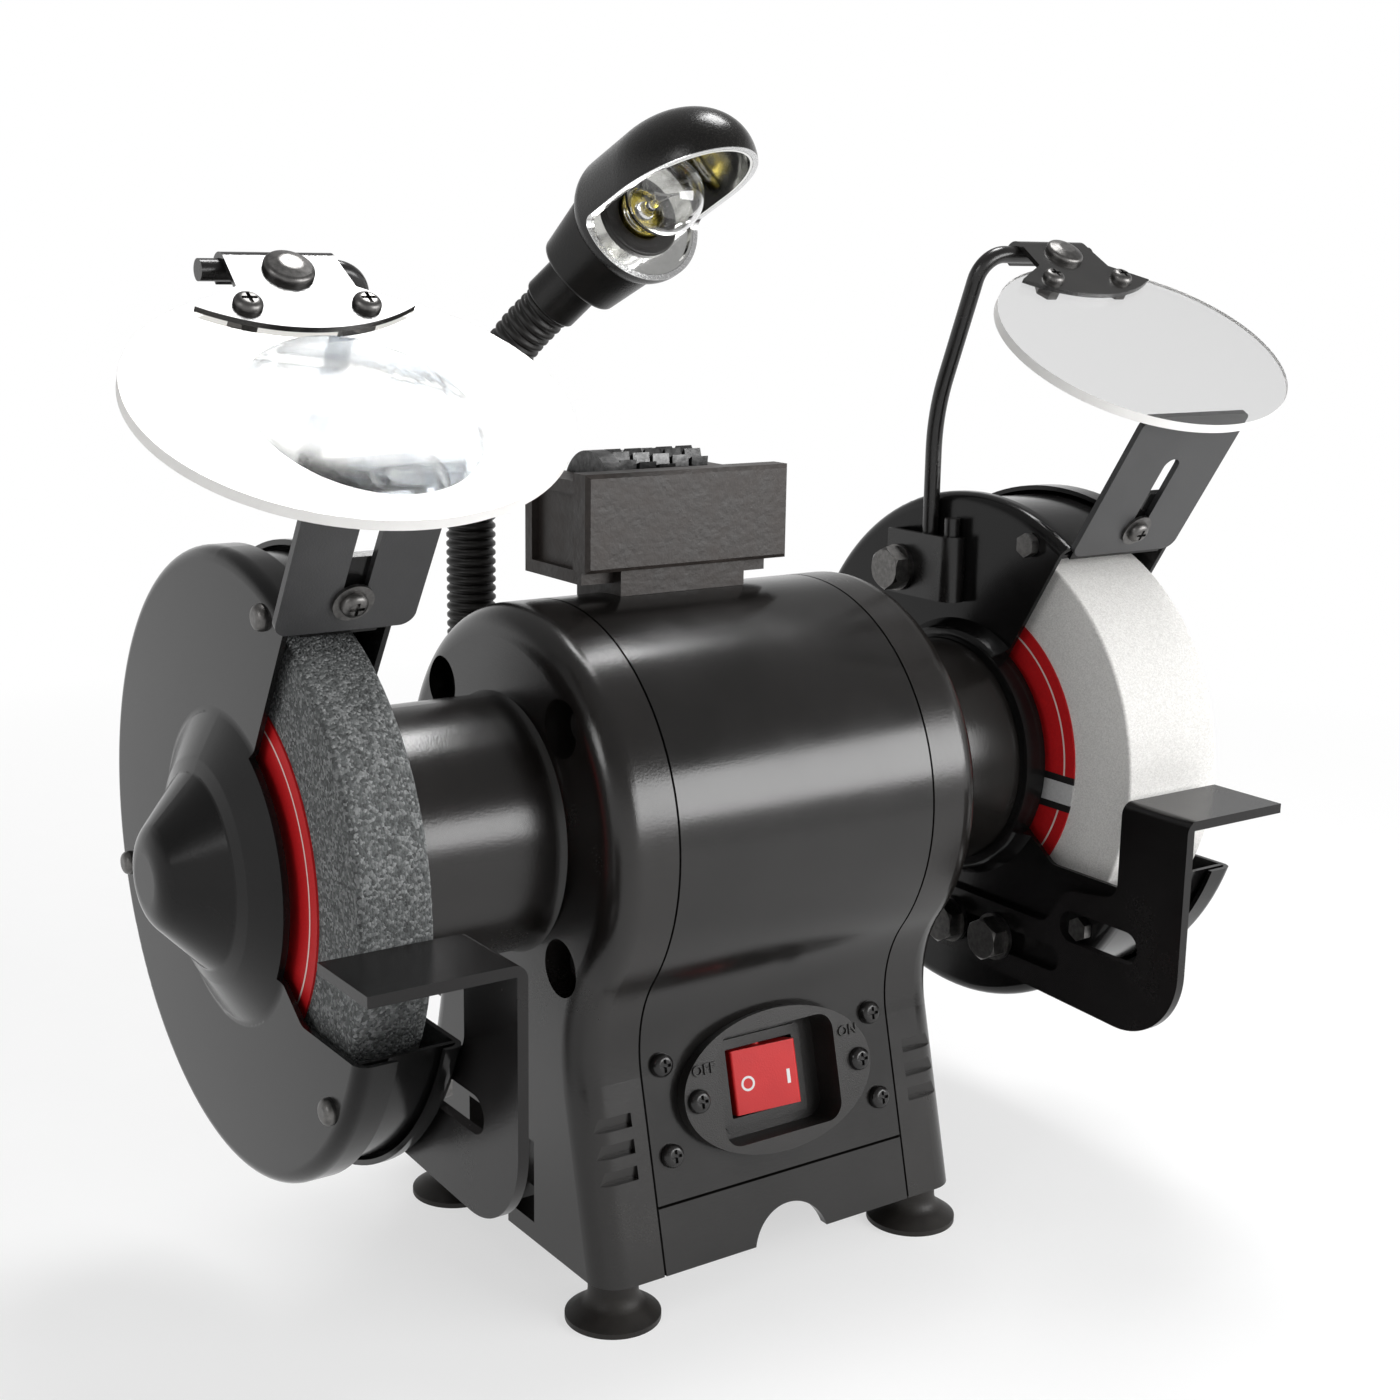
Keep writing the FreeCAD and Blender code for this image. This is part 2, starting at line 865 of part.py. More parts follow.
def capacitor():
    half = capacitor_length / 2
    body = rounded_box(capacitor_length, capacitor_depth, capacitor_corner, 0, capacitor_height)
    blade = block(
        -blade_half_width,
        blade_half_width,
        -blade_half_sheet,
        blade_half_sheet,
        capacitor_height - blade_half_width,
        capacitor_height + blade_height,
    )
    blades = [blade.translated(V(sign * half / 2, 0, 0)) for sign in (-1, 1)]
    return fused([body] + blades).translated(V(0, capacitor_y, parting_height))


def gland_axis():
    """Point on the sloping back and outward direction of the cord inlet."""
    return V(gland_x, flank_at(gland_height), gland_height), V(0, math.cos(lean), math.sin(lean))


def cord_gland():
    nut = hexagon(2 * gland_radius * 0.9, gland_length)
    stem = Part.makeCylinder(gland_bore, cover_wall, V(0, 0, -cover_wall))
    bore = Part.makeCylinder(gland_bore - 1, gland_length + 2 * cover_wall + 2, V(0, 0, -cover_wall - 1))
    return aimed(fused([nut, stem]).cut(bore), *gland_axis())


def switch_bezel():
    oval = Part.Ellipse(ORIGIN, bezel_half_width, bezel_half_height)
    plate = Part.Face(Part.Wire(oval.toShape())).extrude(V(0, 0, 3 * bezel_proud))
    plate = plate.translated(V(0, 0, -2 * bezel_proud))
    plate = switch_frame(plate, bezel_proud).cut(housing_slab(-half_cover, half_cover, -fit_clearance))
    keep = rounded_box(4 * bezel_half_width, 4 * bezel_half_height, 1, -3 * bezel_proud, bezel_proud)
    plate = plate.common(switch_frame(keep))
    cup = rounded_box(
        recess_width + 2 * bezel_wall,
        recess_height + 2 * bezel_wall,
        recess_corner + bezel_wall,
        bezel_proud - recess_depth - bezel_wall,
        bezel_proud,
    )
    hollow = rounded_box(
        recess_width, recess_height, recess_corner, bezel_proud - recess_depth, bezel_proud + 1
    )
    window = rounded_box(
        case_width + 2 * part_clearance,
        case_height + 2 * part_clearance,
        1,
        bezel_proud - recess_depth - bezel_wall - 1,
        bezel_proud,
    )
    bite = Part.makeCylinder(
        screw_radius + screw_hole_clearance, 6 * bezel_proud, V(0, 0, -3 * bezel_proud)
    )
    cuts = [switch_frame(hollow), switch_frame(window)]
    cuts += [switch_frame(bite.translated(V(sign * bezel_screw_offset, 0, 0))) for sign in (-1, 1)]
    solid = plate.fuse(switch_frame(cup)).cut(cuts).removeSplitter()
    return max(solid.Solids, key=lambda s: s.Volume)


case_front = bezel_proud - recess_depth + case_lip


def switch_case():
    body = rounded_box(case_width, case_height, 1, case_front - case_depth, case_front)
    lip = rounded_box(
        case_width + 2 * case_lip, case_height + 2 * case_lip, 1.5, case_front - case_lip, case_front
    )
    hollow = rounded_box(
        case_width - 2 * case_wall,
        case_height - 2 * case_wall,
        0.5,
        case_front - case_depth + case_wall,
        case_front + 1,
    )
    pin_bore = Part.makeCylinder(
        rocker_pin_radius + rocker_pin_clearance,
        case_height + 4 * case_lip,
        V(0, -case_height / 2 - 2 * case_lip, case_front - rocker_belly / 2),
        V(0, 1, 0),
    )
    return switch_frame(fused([body, lip]).cut([hollow, pin_bore]))


def switch_rocker():
    """Flat key that stands half its travel to one side, with the side marked off pressed in."""
    half = rocker_width / 2
    rise = half * math.tan(math.radians(rocker_tilt / 2))
    corners = [
        (-half, rocker_rise - rise, 0.8),
        (half, rocker_rise + rise, 0.8),
        (half - 0.6, -rocker_skirt, 0),
        (half * 0.35, -rocker_belly, 1),
        (-half * 0.35, -rocker_belly, 1),
        (-half + 0.6, -rocker_skirt - 2 * rise, 0),
    ]
    profile = outline_face(corners, lambda a, b: V(a, -rocker_height / 2, b))
    body = profile.extrude(V(0, rocker_height, 0))
    pin = Part.makeCylinder(
        rocker_pin_radius, case_height, V(0, -case_height / 2, -rocker_belly / 2), V(0, 1, 0)
    )
    return switch_frame(fused([body, pin]), case_front)


def panel_screws():
    screws = []
    lift = screw_seat()
    for point, outward in cover_screw_points():
        screws.append(aimed(pan_screw(screw_length), point + outward * lift, outward))
    for sign in (-1, 1):
        screw = pan_screw(screw_length).translated(V(sign * bezel_screw_offset, 0, bezel_proud))
        screws.append(switch_frame(screw))
    return group(screws)


def bearing_rings(inner):
    """Outer rings sit in the bells; inner rings and balls turn with the spindle."""
    pitch = (bearing_outer_radius - bearing_ring + bearing_inner_radius + bearing_ring) / 2
    rings = []
    for side in sides:
        start = side.bearing_start
        end = start + bearing_width
        if inner:
            ring = rod_x(bearing_inner_radius + bearing_ring, start, end)
            bore = rod_x(bearing_inner_radius + fit_clearance, start - 1, end + 1)
        else:
            ring = rod_x(bearing_outer_radius, start, end)
            bore = rod_x(bearing_outer_radius - bearing_ring, start - 1, end + 1)
        rings.append(side.placed(ring.cut(bore)))
        if not inner:
            continue
        for k in range(bearing_ball_count):
            angle = 2 * math.pi * k / bearing_ball_count
            centre = V(
                (start + end) / 2,
                pitch * math.cos(angle),
                spindle_height + pitch * math.sin(angle),
            )
            rings.append(side.placed(Part.makeSphere(bearing_ball_radius, centre)))
    return group(rings)


def spindle():
    half_rotor = stator_length / 2 + rotor_seat_margin
    corners = []
    for side in (left, right):
        ends = [
            (half_rotor, rotor_seat_radius),
            (side.bearing_start, rotor_seat_radius),
            (side.bearing_start, bearing_inner_radius),
            (side.flange_start, bearing_inner_radius),
            (side.flange_start, wheel_bore_radius),
            (side.shaft_end, wheel_bore_radius),
            (side.shaft_end, 0),
        ]
        steps = [(side.sign * x, r, 0) for x, r in ends]
        corners += steps if side.sign > 0 else steps[::-1]
    corners = [c for c in corners if abs(c[0]) != half_rotor]
    return lathe(corners)


def rotor_core():
    half = stator_length / 2
    return rod_x(rotor_radius, -half, half).cut(
        rod_x(rotor_seat_radius + fit_clearance, -half - 1, half + 1)
    )


def wheel(side):
    corners = [
        (side.wheel_start, wheel_bore_radius + fit_clearance, 0),
        (side.wheel_start, wheel_radius, wheel_edge),
        (side.wheel_end, wheel_radius, wheel_edge),
        (side.wheel_end, wheel_bore_radius + fit_clearance, 0),
    ]
    return side.placed(lathe(corners))


def wheel_blotters():
    discs = []
    for side in sides:
        for start in (side.wheel_start - blotter_sheet, side.wheel_end):
            disc = rod_x(blotter_radius, start, start + blotter_sheet)
            bore = rod_x(wheel_bore_radius + fit_clearance, start - 1, start + blotter_sheet + 1)
            discs.append(side.placed(disc.cut(bore)))
    return group(discs)


def wheel_flanges():
    pieces = []
    for side in sides:
        inner_rim = side.wheel_start - blotter_sheet
        outer_rim = side.wheel_end + blotter_sheet
        for base, grow in ((inner_rim, -1), (outer_rim, 1)):
            corners = [
                (base, wheel_bore_radius + fit_clearance, 0),
                (base, flange_radius, 0),
                (base + grow * flange_sheet, flange_radius, flange_sheet * 0.5),
                (base + grow * flange_sheet, flange_hub_radius, 0),
                (base + grow * flange_hub_depth, flange_hub_radius, 0),
                (base + grow * flange_hub_depth, wheel_bore_radius + fit_clearance, 0),
            ]
            pieces.append(side.placed(lathe(corners)))
    return group(pieces)


def spindle_nuts():
    nuts = []
    for side in sides:
        nut = hexagon(nut_flats, nut_length).cut(
            Part.makeCylinder(wheel_bore_radius + fit_clearance, 3 * nut_length, V(0, 0, -nut_length))
        )
        nuts.append(side.placed(aimed(nut, V(side.nut_start, 0, spindle_height), ALONG)))
    return group(nuts)


def opening_cutter(side):
    """Front mouth of a guard: a radial top edge, a level shelf below and a round hub."""
    reach = 2 * guard_radius
    top = math.radians(opening_top_angle)
    corners = [
        (0, 0, 0),
        (reach * math.cos(top), reach * math.sin(top), 0),
        (-2 * reach, reach * math.sin(top), 0),
        (-2 * reach, -opening_shelf_drop, 0),
        (-opening_shelf_start, -opening_shelf_drop, opening_shelf_corner),
        (-opening_shelf_start + opening_shelf_corner * 2, -opening_hub_drop, 0),
    ]
    start = side.guard_face - collar_length - 1
    length = side.cover_face + dome_height + 1 - start
    mouth = outline_face(corners, about_axis(start)).extrude(V(length, 0, 0))
    return mouth.cut(rod_x(guard_hub_radius, start - 1, start + length + 1))


def guard_screw_places():
    return [
        (
            guard_screw_circle * math.cos(math.radians(a)),
            spindle_height + guard_screw_circle * math.sin(math.radians(a)),
        )
        for a in guard_screw_angles
    ]


def guard_screw_bores(side):
    radius = guard_screw_radius + screw_hole_clearance
    return [
        rod_x(radius, side.guard_face - 1, side.cover_face + 1, y, z) for y, z in guard_screw_places()
    ]


def arrestor_frame(shape):
    """Moves a shape from the arrestor's axes (across, away from the spindle, to the front)."""
    a = math.radians(arrestor_angle)
    outward = V(0, math.cos(a), math.sin(a))
    front = V(0, -math.sin(a), math.cos(a))
    return framed(shape, V(0, 0, spindle_height), ALONG, outward, front)


def arrestor_tab(side):
    """Flange on the end of the rim that carries the spark arrestor."""
    x0 = side.plate_back + arrestor_tab_margin
    x1 = side.cover_inside - arrestor_tab_margin
    foot = rim_radius - guard_sheet
    lip_clear = side.cover_inside - guard_cover_lip - part_clearance
    plate = block(x0, lip_clear, foot, foot + arrestor_tab_length, -arrestor_tab_sheet, 0)
    joint_reach = rim_radius * math.sin(math.radians(arrestor_angle - opening_top_angle)) + 2 * guard_sheet
    root = block(x0, x1, foot, rim_radius, -joint_reach, 0)
    hole = Part.makeCylinder(
        arrestor_screw_radius + screw_hole_clearance,
        4 * arrestor_tab_sheet,
        V((x0 + x1) / 2, arrestor_screw_circle, -2 * arrestor_tab_sheet),
    )
    return arrestor_frame(fused([plate, root]).cut(hole))


def rod_centre(side):
    """Distance from the motor's middle to the shield rod's upright legs."""
    return side.guard_face - rod_radius - rod_clearance


def guard_inner(side):
    face = side.guard_face
    edge_inside = guard_edge_radius - guard_sheet
    plate = lathe(
        [
            (face, guard_bore_radius, 0),
            (face, guard_radius, guard_edge_radius),
            (face + guard_inner_lip, guard_radius, 0),
            (face + guard_inner_lip, guard_radius - guard_sheet, 0),
            (side.plate_back, guard_radius - guard_sheet, edge_inside),
            (side.plate_back, guard_bore_radius, 0),
        ]
    )
    rim = lathe(
        [
            (face + guard_sheet / 2, rim_radius - guard_sheet, 0),
            (face + guard_sheet / 2, rim_radius, 0),
            (side.cover_inside - part_clearance, rim_radius, 0),
            (side.cover_inside - part_clearance, rim_radius - guard_sheet, 0),
        ]
    )
    collar_bore = neck_radius + part_clearance
    collar = lathe(
        [
            (face + guard_sheet / 2, collar_bore, 0),
            (face + guard_sheet / 2, collar_bore + collar_width, 0),
            (face, collar_bore + collar_width, 0),
            (face - collar_length, collar_bore + collar_width / 2, collar_width / 2),
            (face - collar_length, collar_bore, 0),
        ]
    )
    shell = fused([plate, rim, collar]).cut(opening_cutter(side))
    holes = guard_screw_bores(side)
    for y in rest_bolt_places():
        radius = rest_bolt_radius + screw_hole_clearance
        holes.append(rod_x(radius, face - 1, side.plate_back + 1, y, rest_bolt_height))
    holes.append(clamp_bore(side))
    return side.placed(fused([shell, arrestor_tab(side)]).cut(holes))


def guard_cover(side):
    def corners(inset):
        face = side.cover_face - inset
        back = side.cover_inside - guard_cover_lip
        tip = side.cover_face + dome_height - inset
        return [
            (back, 0, 0),
            (tip, 0, 0),
            (tip, dome_radius * 0.42, dome_radius * 0.4),
            (side.cover_face + dome_shelf - inset, dome_radius - inset / 2, dome_step / 2),
            (side.cover_face + dome_shelf * 0.8 - inset, dome_radius + dome_step, dome_step / 2),
            (face, bump_radius - inset / 2, dome_step),
            (face, guard_radius - inset, guard_edge_radius - inset),
            (back, guard_radius - inset, 0),
        ]

    dish = lathe(corners(0.0)).cut(lathe(corners(guard_sheet)))
    return side.placed(dish.cut([opening_cutter(side)] + guard_screw_bores(side)))


def guard_screws():
    """Long screws that pinch the rim between the inner guard and its cover."""
    pieces = []
    for side in sides:
        length = side.cover_face - side.guard_face + guard_nut_length
        head = turned(
            [
                (0, 0, 0),
                (screw_head_radius, 0, 0),
                (screw_head_radius, screw_head_height, screw_head_height * 0.8),
                (0, screw_head_height, 0),
            ]
        )
        shank = Part.makeCylinder(guard_screw_radius, length, V(0, 0, -length))
        nut = hexagon(guard_nut_flats, guard_nut_length).translated(V(0, 0, -length))
        screw = fused([head, shank, nut])
        for y, z in guard_screw_places():
            pieces.append(side.placed(aimed(screw, V(side.cover_face, y, z), ALONG)))
    return group(pieces)


def rest_bolt_places():
    return [rest_bolt_first, rest_bolt_first - rest_bolt_pitch]


def stadium(y0, y1, z, half):
    """Outline of a level slot whose round ends are centred at y0 and y1."""
    low = min(y0, y1) - half
    high = max(y0, y1) + half
    rounding = half * 0.999
    return [
        (low, z - half, rounding),
        (high, z - half, rounding),
        (high, z + half, rounding),
        (low, z + half, rounding),
    ]


def tool_rest(side):
    inner = side.guard_face - rest_sheet
    table_rear = -wheel_radius - rest_wheel_gap
    table_front = table_rear - rest_table_depth
    nut_y, nut_z = guard_screw_places()[2]
    window_half = guard_nut_flats / math.sqrt(3) + rest_window_clearance
    corners = [
        (rest_arm_end, rest_arm_bottom, rest_bend_radius),
        (table_front, rest_bottom, rest_corner_radius),
        (table_front, rest_table_height, 0),
        (table_rear, rest_table_height, 0),
        (table_rear, nut_z + 2.8 * window_half, rest_notch_radius),
        (nut_y + 1.2 * window_half, nut_z + 2.2 * window_half, rest_throat_radius),
        (nut_y + 2.8 * window_half, rest_arm_top, rest_notch_radius),
        (rest_arm_end, rest_arm_top, rest_bend_radius),
    ]
    plate = outline_face(corners, at_x(inner)).extrude(V(rest_sheet, 0, 0))
    table = block(
        inner,
        inner + rest_table_width,
        table_front,
        table_rear,
        rest_table_height - rest_sheet,
        rest_table_height,
    )
    solid = fused([plate, table])
    bend = [
        edge for edge in solid.Edges
        if all(
            abs(v.X - inner) < 1e-6 and abs(v.Z - rest_table_height) < 1e-6 for v in edge.Vertexes
        )
    ]
    solid = solid.makeFillet(rest_bend_radius, bend)
    slot_half = rest_bolt_radius + rest_slot_clearance
    slots = [
        stadium(rest_slot_front, rest_slot_rear, rest_bolt_height, slot_half),
        stadium(rest_window_front + window_half, rest_window_rear - window_half, nut_z, window_half),
    ]
    cuts = [
        outline_face(slot, at_x(inner - 1)).extrude(V(rest_sheet + 2, 0, 0)) for slot in slots
    ]
    return side.placed(solid.cut(cuts))


def rest_bolts():
    pieces = []
    for side in sides:
        bolt = hex_bolt(rest_bolt_radius, rest_sheet + guard_sheet)
        for y in rest_bolt_places():
            head = V(side.guard_face - rest_sheet, y, rest_bolt_height)
            pieces.append(side.placed(aimed(bolt, head, V(-1, 0, 0))))
    return group(pieces)


def arrestor_width(side):
    return left_arrestor_width if side.sign < 0 else right_arrestor_width


def arrestor_middle(side):
    return (side.plate_back + side.cover_inside) / 2


def spark_arrestor(side):
    width = arrestor_width(side)
    low = arrestor_bottom
    high = low + arrestor_length
    half = width / 2
    middle = arrestor_middle(side)
    corners = [
        (middle - half, low, arrestor_corner),
        (middle + half, low, arrestor_corner),
        (middle + half, high, arrestor_corner / 2),
        (middle - half, high, arrestor_corner / 2),
    ]
    plate = outline_face(corners, flat).extrude(V(0, 0, arrestor_sheet))
    slot_half = arrestor_slot_width / 2
    slot = [
        (middle - slot_half, arrestor_screw_circle - slot_half, slot_half * 0.999),
        (middle + slot_half, arrestor_screw_circle - slot_half, slot_half * 0.999),
        (middle + slot_half, arrestor_screw_circle + arrestor_slot_length, slot_half * 0.999),
        (middle - slot_half, arrestor_screw_circle + arrestor_slot_length, slot_half * 0.999),
    ]
    window = outline_face(slot, flat).extrude(V(0, 0, 3 * arrestor_sheet))
    return side.placed(arrestor_frame(plate.cut(window.translated(V(0, 0, -arrestor_sheet)))))


def arrestor_screws():
    pieces = []
    for side in sides:
        grip = arrestor_sheet + arrestor_tab_sheet
        washer = Part.makeCylinder(arrestor_washer_radius, arrestor_washer_sheet)
        screw = pan_screw(grip + guard_nut_length).translated(V(0, 0, arrestor_washer_sheet))
        nut = hexagon(guard_nut_flats, guard_nut_length).translated(V(0, 0, -grip - guard_nut_length))
        solid = fused([washer, screw, nut])
        at = V(arrestor_middle(side), arrestor_screw_circle, arrestor_sheet)
        pieces.append(side.placed(arrestor_frame(solid.translated(at))))
    return group(pieces)


def clamp_bore(side):
    radius = clamp_bolt_radius + screw_hole_clearance
    start = side.guard_face - 4 * rod_radius
    return rod_x(radius, start, side.plate_back + 1, clamp_bolt_y, clamp_bolt_height)


def rod_clamp(side):
    """Pressed clamp: a web over the rod's legs, a rear foot and a curl round the stub."""
    centre = rod_centre(side)
    inside = rod_radius + rod_clearance
    web_x = centre - inside - clamp_sheet
    height = clamp_top - clamp_bottom
    web = block(web_x, web_x + clamp_sheet, rod_stub_y, clamp_rear_y, clamp_bottom, clamp_top)
    foot = block(
        web_x, side.guard_face, clamp_rear_y - clamp_sheet, clamp_rear_y, clamp_bottom, clamp_top
    )
    middle = V(centre, rod_stub_y, clamp_bottom)
    curl = Part.makeCylinder(inside + clamp_sheet, height, middle)
    curl = curl.cut(Part.makeCylinder(inside, height, middle))
    keep = block(
        web_x - 1,
        side.guard_face,
        rod_stub_y - inside - 2 * clamp_sheet,
        rod_stub_y,
        clamp_bottom - 1,
        clamp_top + 1,
    )
    clamp = fused([web, foot, curl.common(keep)]).cut(clamp_bore(side))
    return side.placed(leaned(clamp, side))


def clamp_bolts():
    pieces = []
    for side in sides:
        web_x = rod_centre(side) - rod_radius - rod_clearance - clamp_sheet
        bolt = hex_bolt(clamp_bolt_radius, side.plate_back - web_x)
        head = V(web_x, clamp_bolt_y, clamp_bolt_height)
        pieces.append(side.placed(aimed(bolt, head, V(-1, 0, 0))))
    return group(pieces)


def rod_reach(side):
    return left_rod_reach if side.sign < 0 else right_rod_reach


def swept(points, bends, radius):
    """Round bar along straight runs between points, with an arc of the given radius at each bend."""
    edges = []
    start = points[0]
    for index, bend in enumerate(bends, start=1):
        corner = points[index]
        back = (points[index - 1] - corner).normalize()
        ahead = (points[index + 1] - corner).normalize()
        half = back.getAngle(ahead) / 2
        reach = bend / math.tan(half)
        first = corner + back * reach
        last = corner + ahead * reach
        middle = corner + (back + ahead).normalize() * (bend / math.sin(half) - bend)
        if (first - start).Length > 1e-6:
            edges.append(Part.LineSegment(start, first).toShape())
        edges.append(Part.Arc(first, middle, last).toShape())
        start = last
    edges.append(Part.LineSegment(start, points[-1]).toShape())
    path = Part.Wire(edges)
    direction = (points[1] - points[0]).normalize()
    ring = Part.Wire(Part.Circle(points[0], direction, radius).toShape())
    return path.makePipeShell([ring], True, False)


def clamp_lean(side):
    return left_clamp_lean if side.sign < 0 else 0.0


def leaned(shape, side):
    """Turns a shape made upright about the clamp bolt, as the clamp is set on the guard."""
    pivot = V(0, clamp_bolt_y, clamp_bolt_height)
    return shape.rotated(pivot, ALONG, clamp_lean(side))


def drawn_out(shape, side):
    """Moves a rod and what it carries along its upright leg."""
    return shape.translated(UP * (left_rod_extension if side.sign < 0 else 0.0))


def shield_rod(side):
    """Hairpin rod: a stub, a tight turn, a long leg leaning forward and a level end."""
    x = rod_centre(side)
    turn = (rod_leg_y - rod_stub_y) / 2
    points = [
        V(x, rod_stub_y, rod_stub_top),
        V(x, rod_stub_y, rod_turn_height - turn),
        V(x, rod_leg_y, rod_turn_height - turn),
        V(x, rod_leg_y, rod_knee_height),
        V(x, rod_top_y, rod_top_height),
        V(x + rod_reach(side), rod_top_y, rod_top_height),
    ]
    rod = swept(points, [turn * 0.999, turn * 0.999, rod_knee_radius, rod_top_radius], rod_radius)
    return side.placed(leaned(drawn_out(rod, side), side))


def shield_shift(side):
    return left_shield_shift if side.sign < 0 else right_shield_shift


def rod_top(side):
    """Middle of the rod's level end, on the +X side, after the clamp's lean."""
    pivot = V(0, clamp_bolt_y, clamp_bolt_height)
    middle = rod_centre(side) + shield_shift(side)
    rise = rod_top_height + (left_rod_extension if side.sign < 0 else 0.0)
    arm = V(middle, rod_top_y, rise) - pivot
    return pivot + FreeCAD.Rotation(ALONG, clamp_lean(side)).multVec(arm)


def shield_frame(shape, side):
    """Moves a shape from the shield's axes to the rod: local -Y runs down the slope to the front."""
    a = math.radians(left_shield_tilt if side.sign < 0 else right_shield_tilt)
    upslope = V(0, math.cos(a), math.sin(a))
    normal = V(0, -math.sin(a), math.cos(a))
    point = rod_top(side) + normal * (rod_radius + rod_clearance)
    return side.placed(framed(shape, point, ALONG, upslope, normal))


def bracket_bite():
    hole = Part.makeCylinder(
        screw_radius + screw_hole_clearance,
        2 * shield_sheet + 2 * bracket_sheet,
        V(0, -bracket_screw_reach, -shield_sheet - 1),
    )
    return [hole.translated(V(sign * bracket_screw_half, 0, 0)) for sign in (-1, 1)]


def shield_bracket(side):
    """Sheet bracket: curled round the rod at the top, a crescent over the shield below."""
    top = bracket_top_half
    edges = []
    ring = [
        (-top, 0),
        (-bracket_neck_half, -bracket_neck_reach),
        (-bracket_tip_half, -bracket_tip_reach),
    ]
    left_points = [V(a, b, 0) for a, b in ring]
    right_points = [V(-p.x, p.y, 0) for p in reversed(left_points)]
    for pair in zip(left_points, left_points[1:]):
        edges.append(Part.LineSegment(*pair).toShape())
    edges.append(Part.Arc(left_points[-1], V(0, -bracket_reach, 0), right_points[0]).toShape())
    for pair in zip(right_points, right_points[1:]):
        edges.append(Part.LineSegment(*pair).toShape())
    edges.append(Part.LineSegment(right_points[-1], left_points[0]).toShape())
    plate = Part.Face(Part.Wire(edges)).extrude(V(0, 0, bracket_sheet))
    inside = rod_radius + rod_clearance
    middle = V(-top, 0, -inside)
    curl = Part.makeCylinder(inside + bracket_sheet, 2 * top, middle, ALONG)
    curl = curl.cut(Part.makeCylinder(inside, 2 * top, middle, ALONG))
    keep = block(-top - 1, top + 1, 0, 2 * inside + bracket_sheet, -4 * inside, 2 * bracket_sheet)
    return shield_frame(fused([plate, curl.common(keep)]).cut(bracket_bite()), side)


def eye_shield(side):
    oval = Part.Ellipse(V(0, -shield_centre, 0), shield_half_width, shield_half_depth)
    plate = Part.Face(Part.Wire(oval.toShape())).extrude(V(0, 0, -shield_sheet))
    return shield_frame(plate.cut(bracket_bite()), side)


def magnifier_lens():
    """Shallow dome moulded on the left shield."""
    ball = (lens_radius ** 2 + lens_height ** 2) / (2 * lens_height)
    dome = Part.makeSphere(ball, V(0, -lens_reach, lens_height - ball))
    reach = 2 * lens_radius
    slab = Part.makeBox(2 * reach, 2 * reach, lens_height, V(-reach, -lens_reach - reach, 0))
    return shield_frame(dome.common(slab), left)


def shield_fasteners(side):
    """Domed clamp button over the rod and two screws with nuts through the shield."""
    cap = turned(
        [
            (0, 0, 0),
            (knob_radius, 0, 0),
            (knob_radius, knob_height * 0.6, knob_height * 0.5),
            (knob_radius * 0.45, knob_height, knob_height * 0.8),
            (0, knob_height, 0),
        ]
    ).translated(V(0, -knob_reach, bracket_sheet))
    grip = bracket_sheet + shield_sheet
    nut = hexagon(guard_nut_flats, guard_nut_length).translated(V(0, 0, -grip - guard_nut_length))
    screw = fused([pan_screw(grip + guard_nut_length), nut])
    pieces = [cap]
    for sign in (-1, 1):
        pieces.append(screw.translated(V(sign * bracket_screw_half, -bracket_screw_reach, bracket_sheet)))
    return group([shield_frame(piece, side) for piece in pieces])


heading = V(math.cos(math.radians(arm_heading)), math.sin(math.radians(arm_heading)), 0)
bend_axis = UP.cross(heading)
turn_angle = math.radians(arm_turn)
arm_bottom = mount_shelf + mount_sheet + arm_nut_height
arm_vertical = arm_straight_top - arm_bottom
arm_arc = arm_bend_radius * turn_angle
arm_length = arm_vertical + arm_arc + arm_end_straight
lamp_axis = heading * math.sin(turn_angle) + UP * math.cos(turn_angle)


def arm_point(distance):
    """Centre and direction of the flexible arm at a distance along it."""
    foot = V(arm_x, arm_y, arm_bottom)
    if distance <= arm_vertical:
        return foot + UP * distance, UP
    angle = min((distance - arm_vertical) / arm_bend_radius, turn_angle)
    forward = arm_bend_radius * (1 - math.cos(angle))
    rise = arm_vertical + arm_bend_radius * math.sin(angle)
    direction = heading * math.sin(angle) + UP * math.cos(angle)
    beyond = max(0.0, distance - arm_vertical - arm_arc)
    return foot + heading * forward + UP * rise + direction * beyond, direction


def arm_ring(distance, radius):
    centre, direction = arm_point(distance)
    circle = Part.Circle(centre, direction, radius)
    circle.XAxis = bend_axis
    return Part.Wire(circle.toShape())


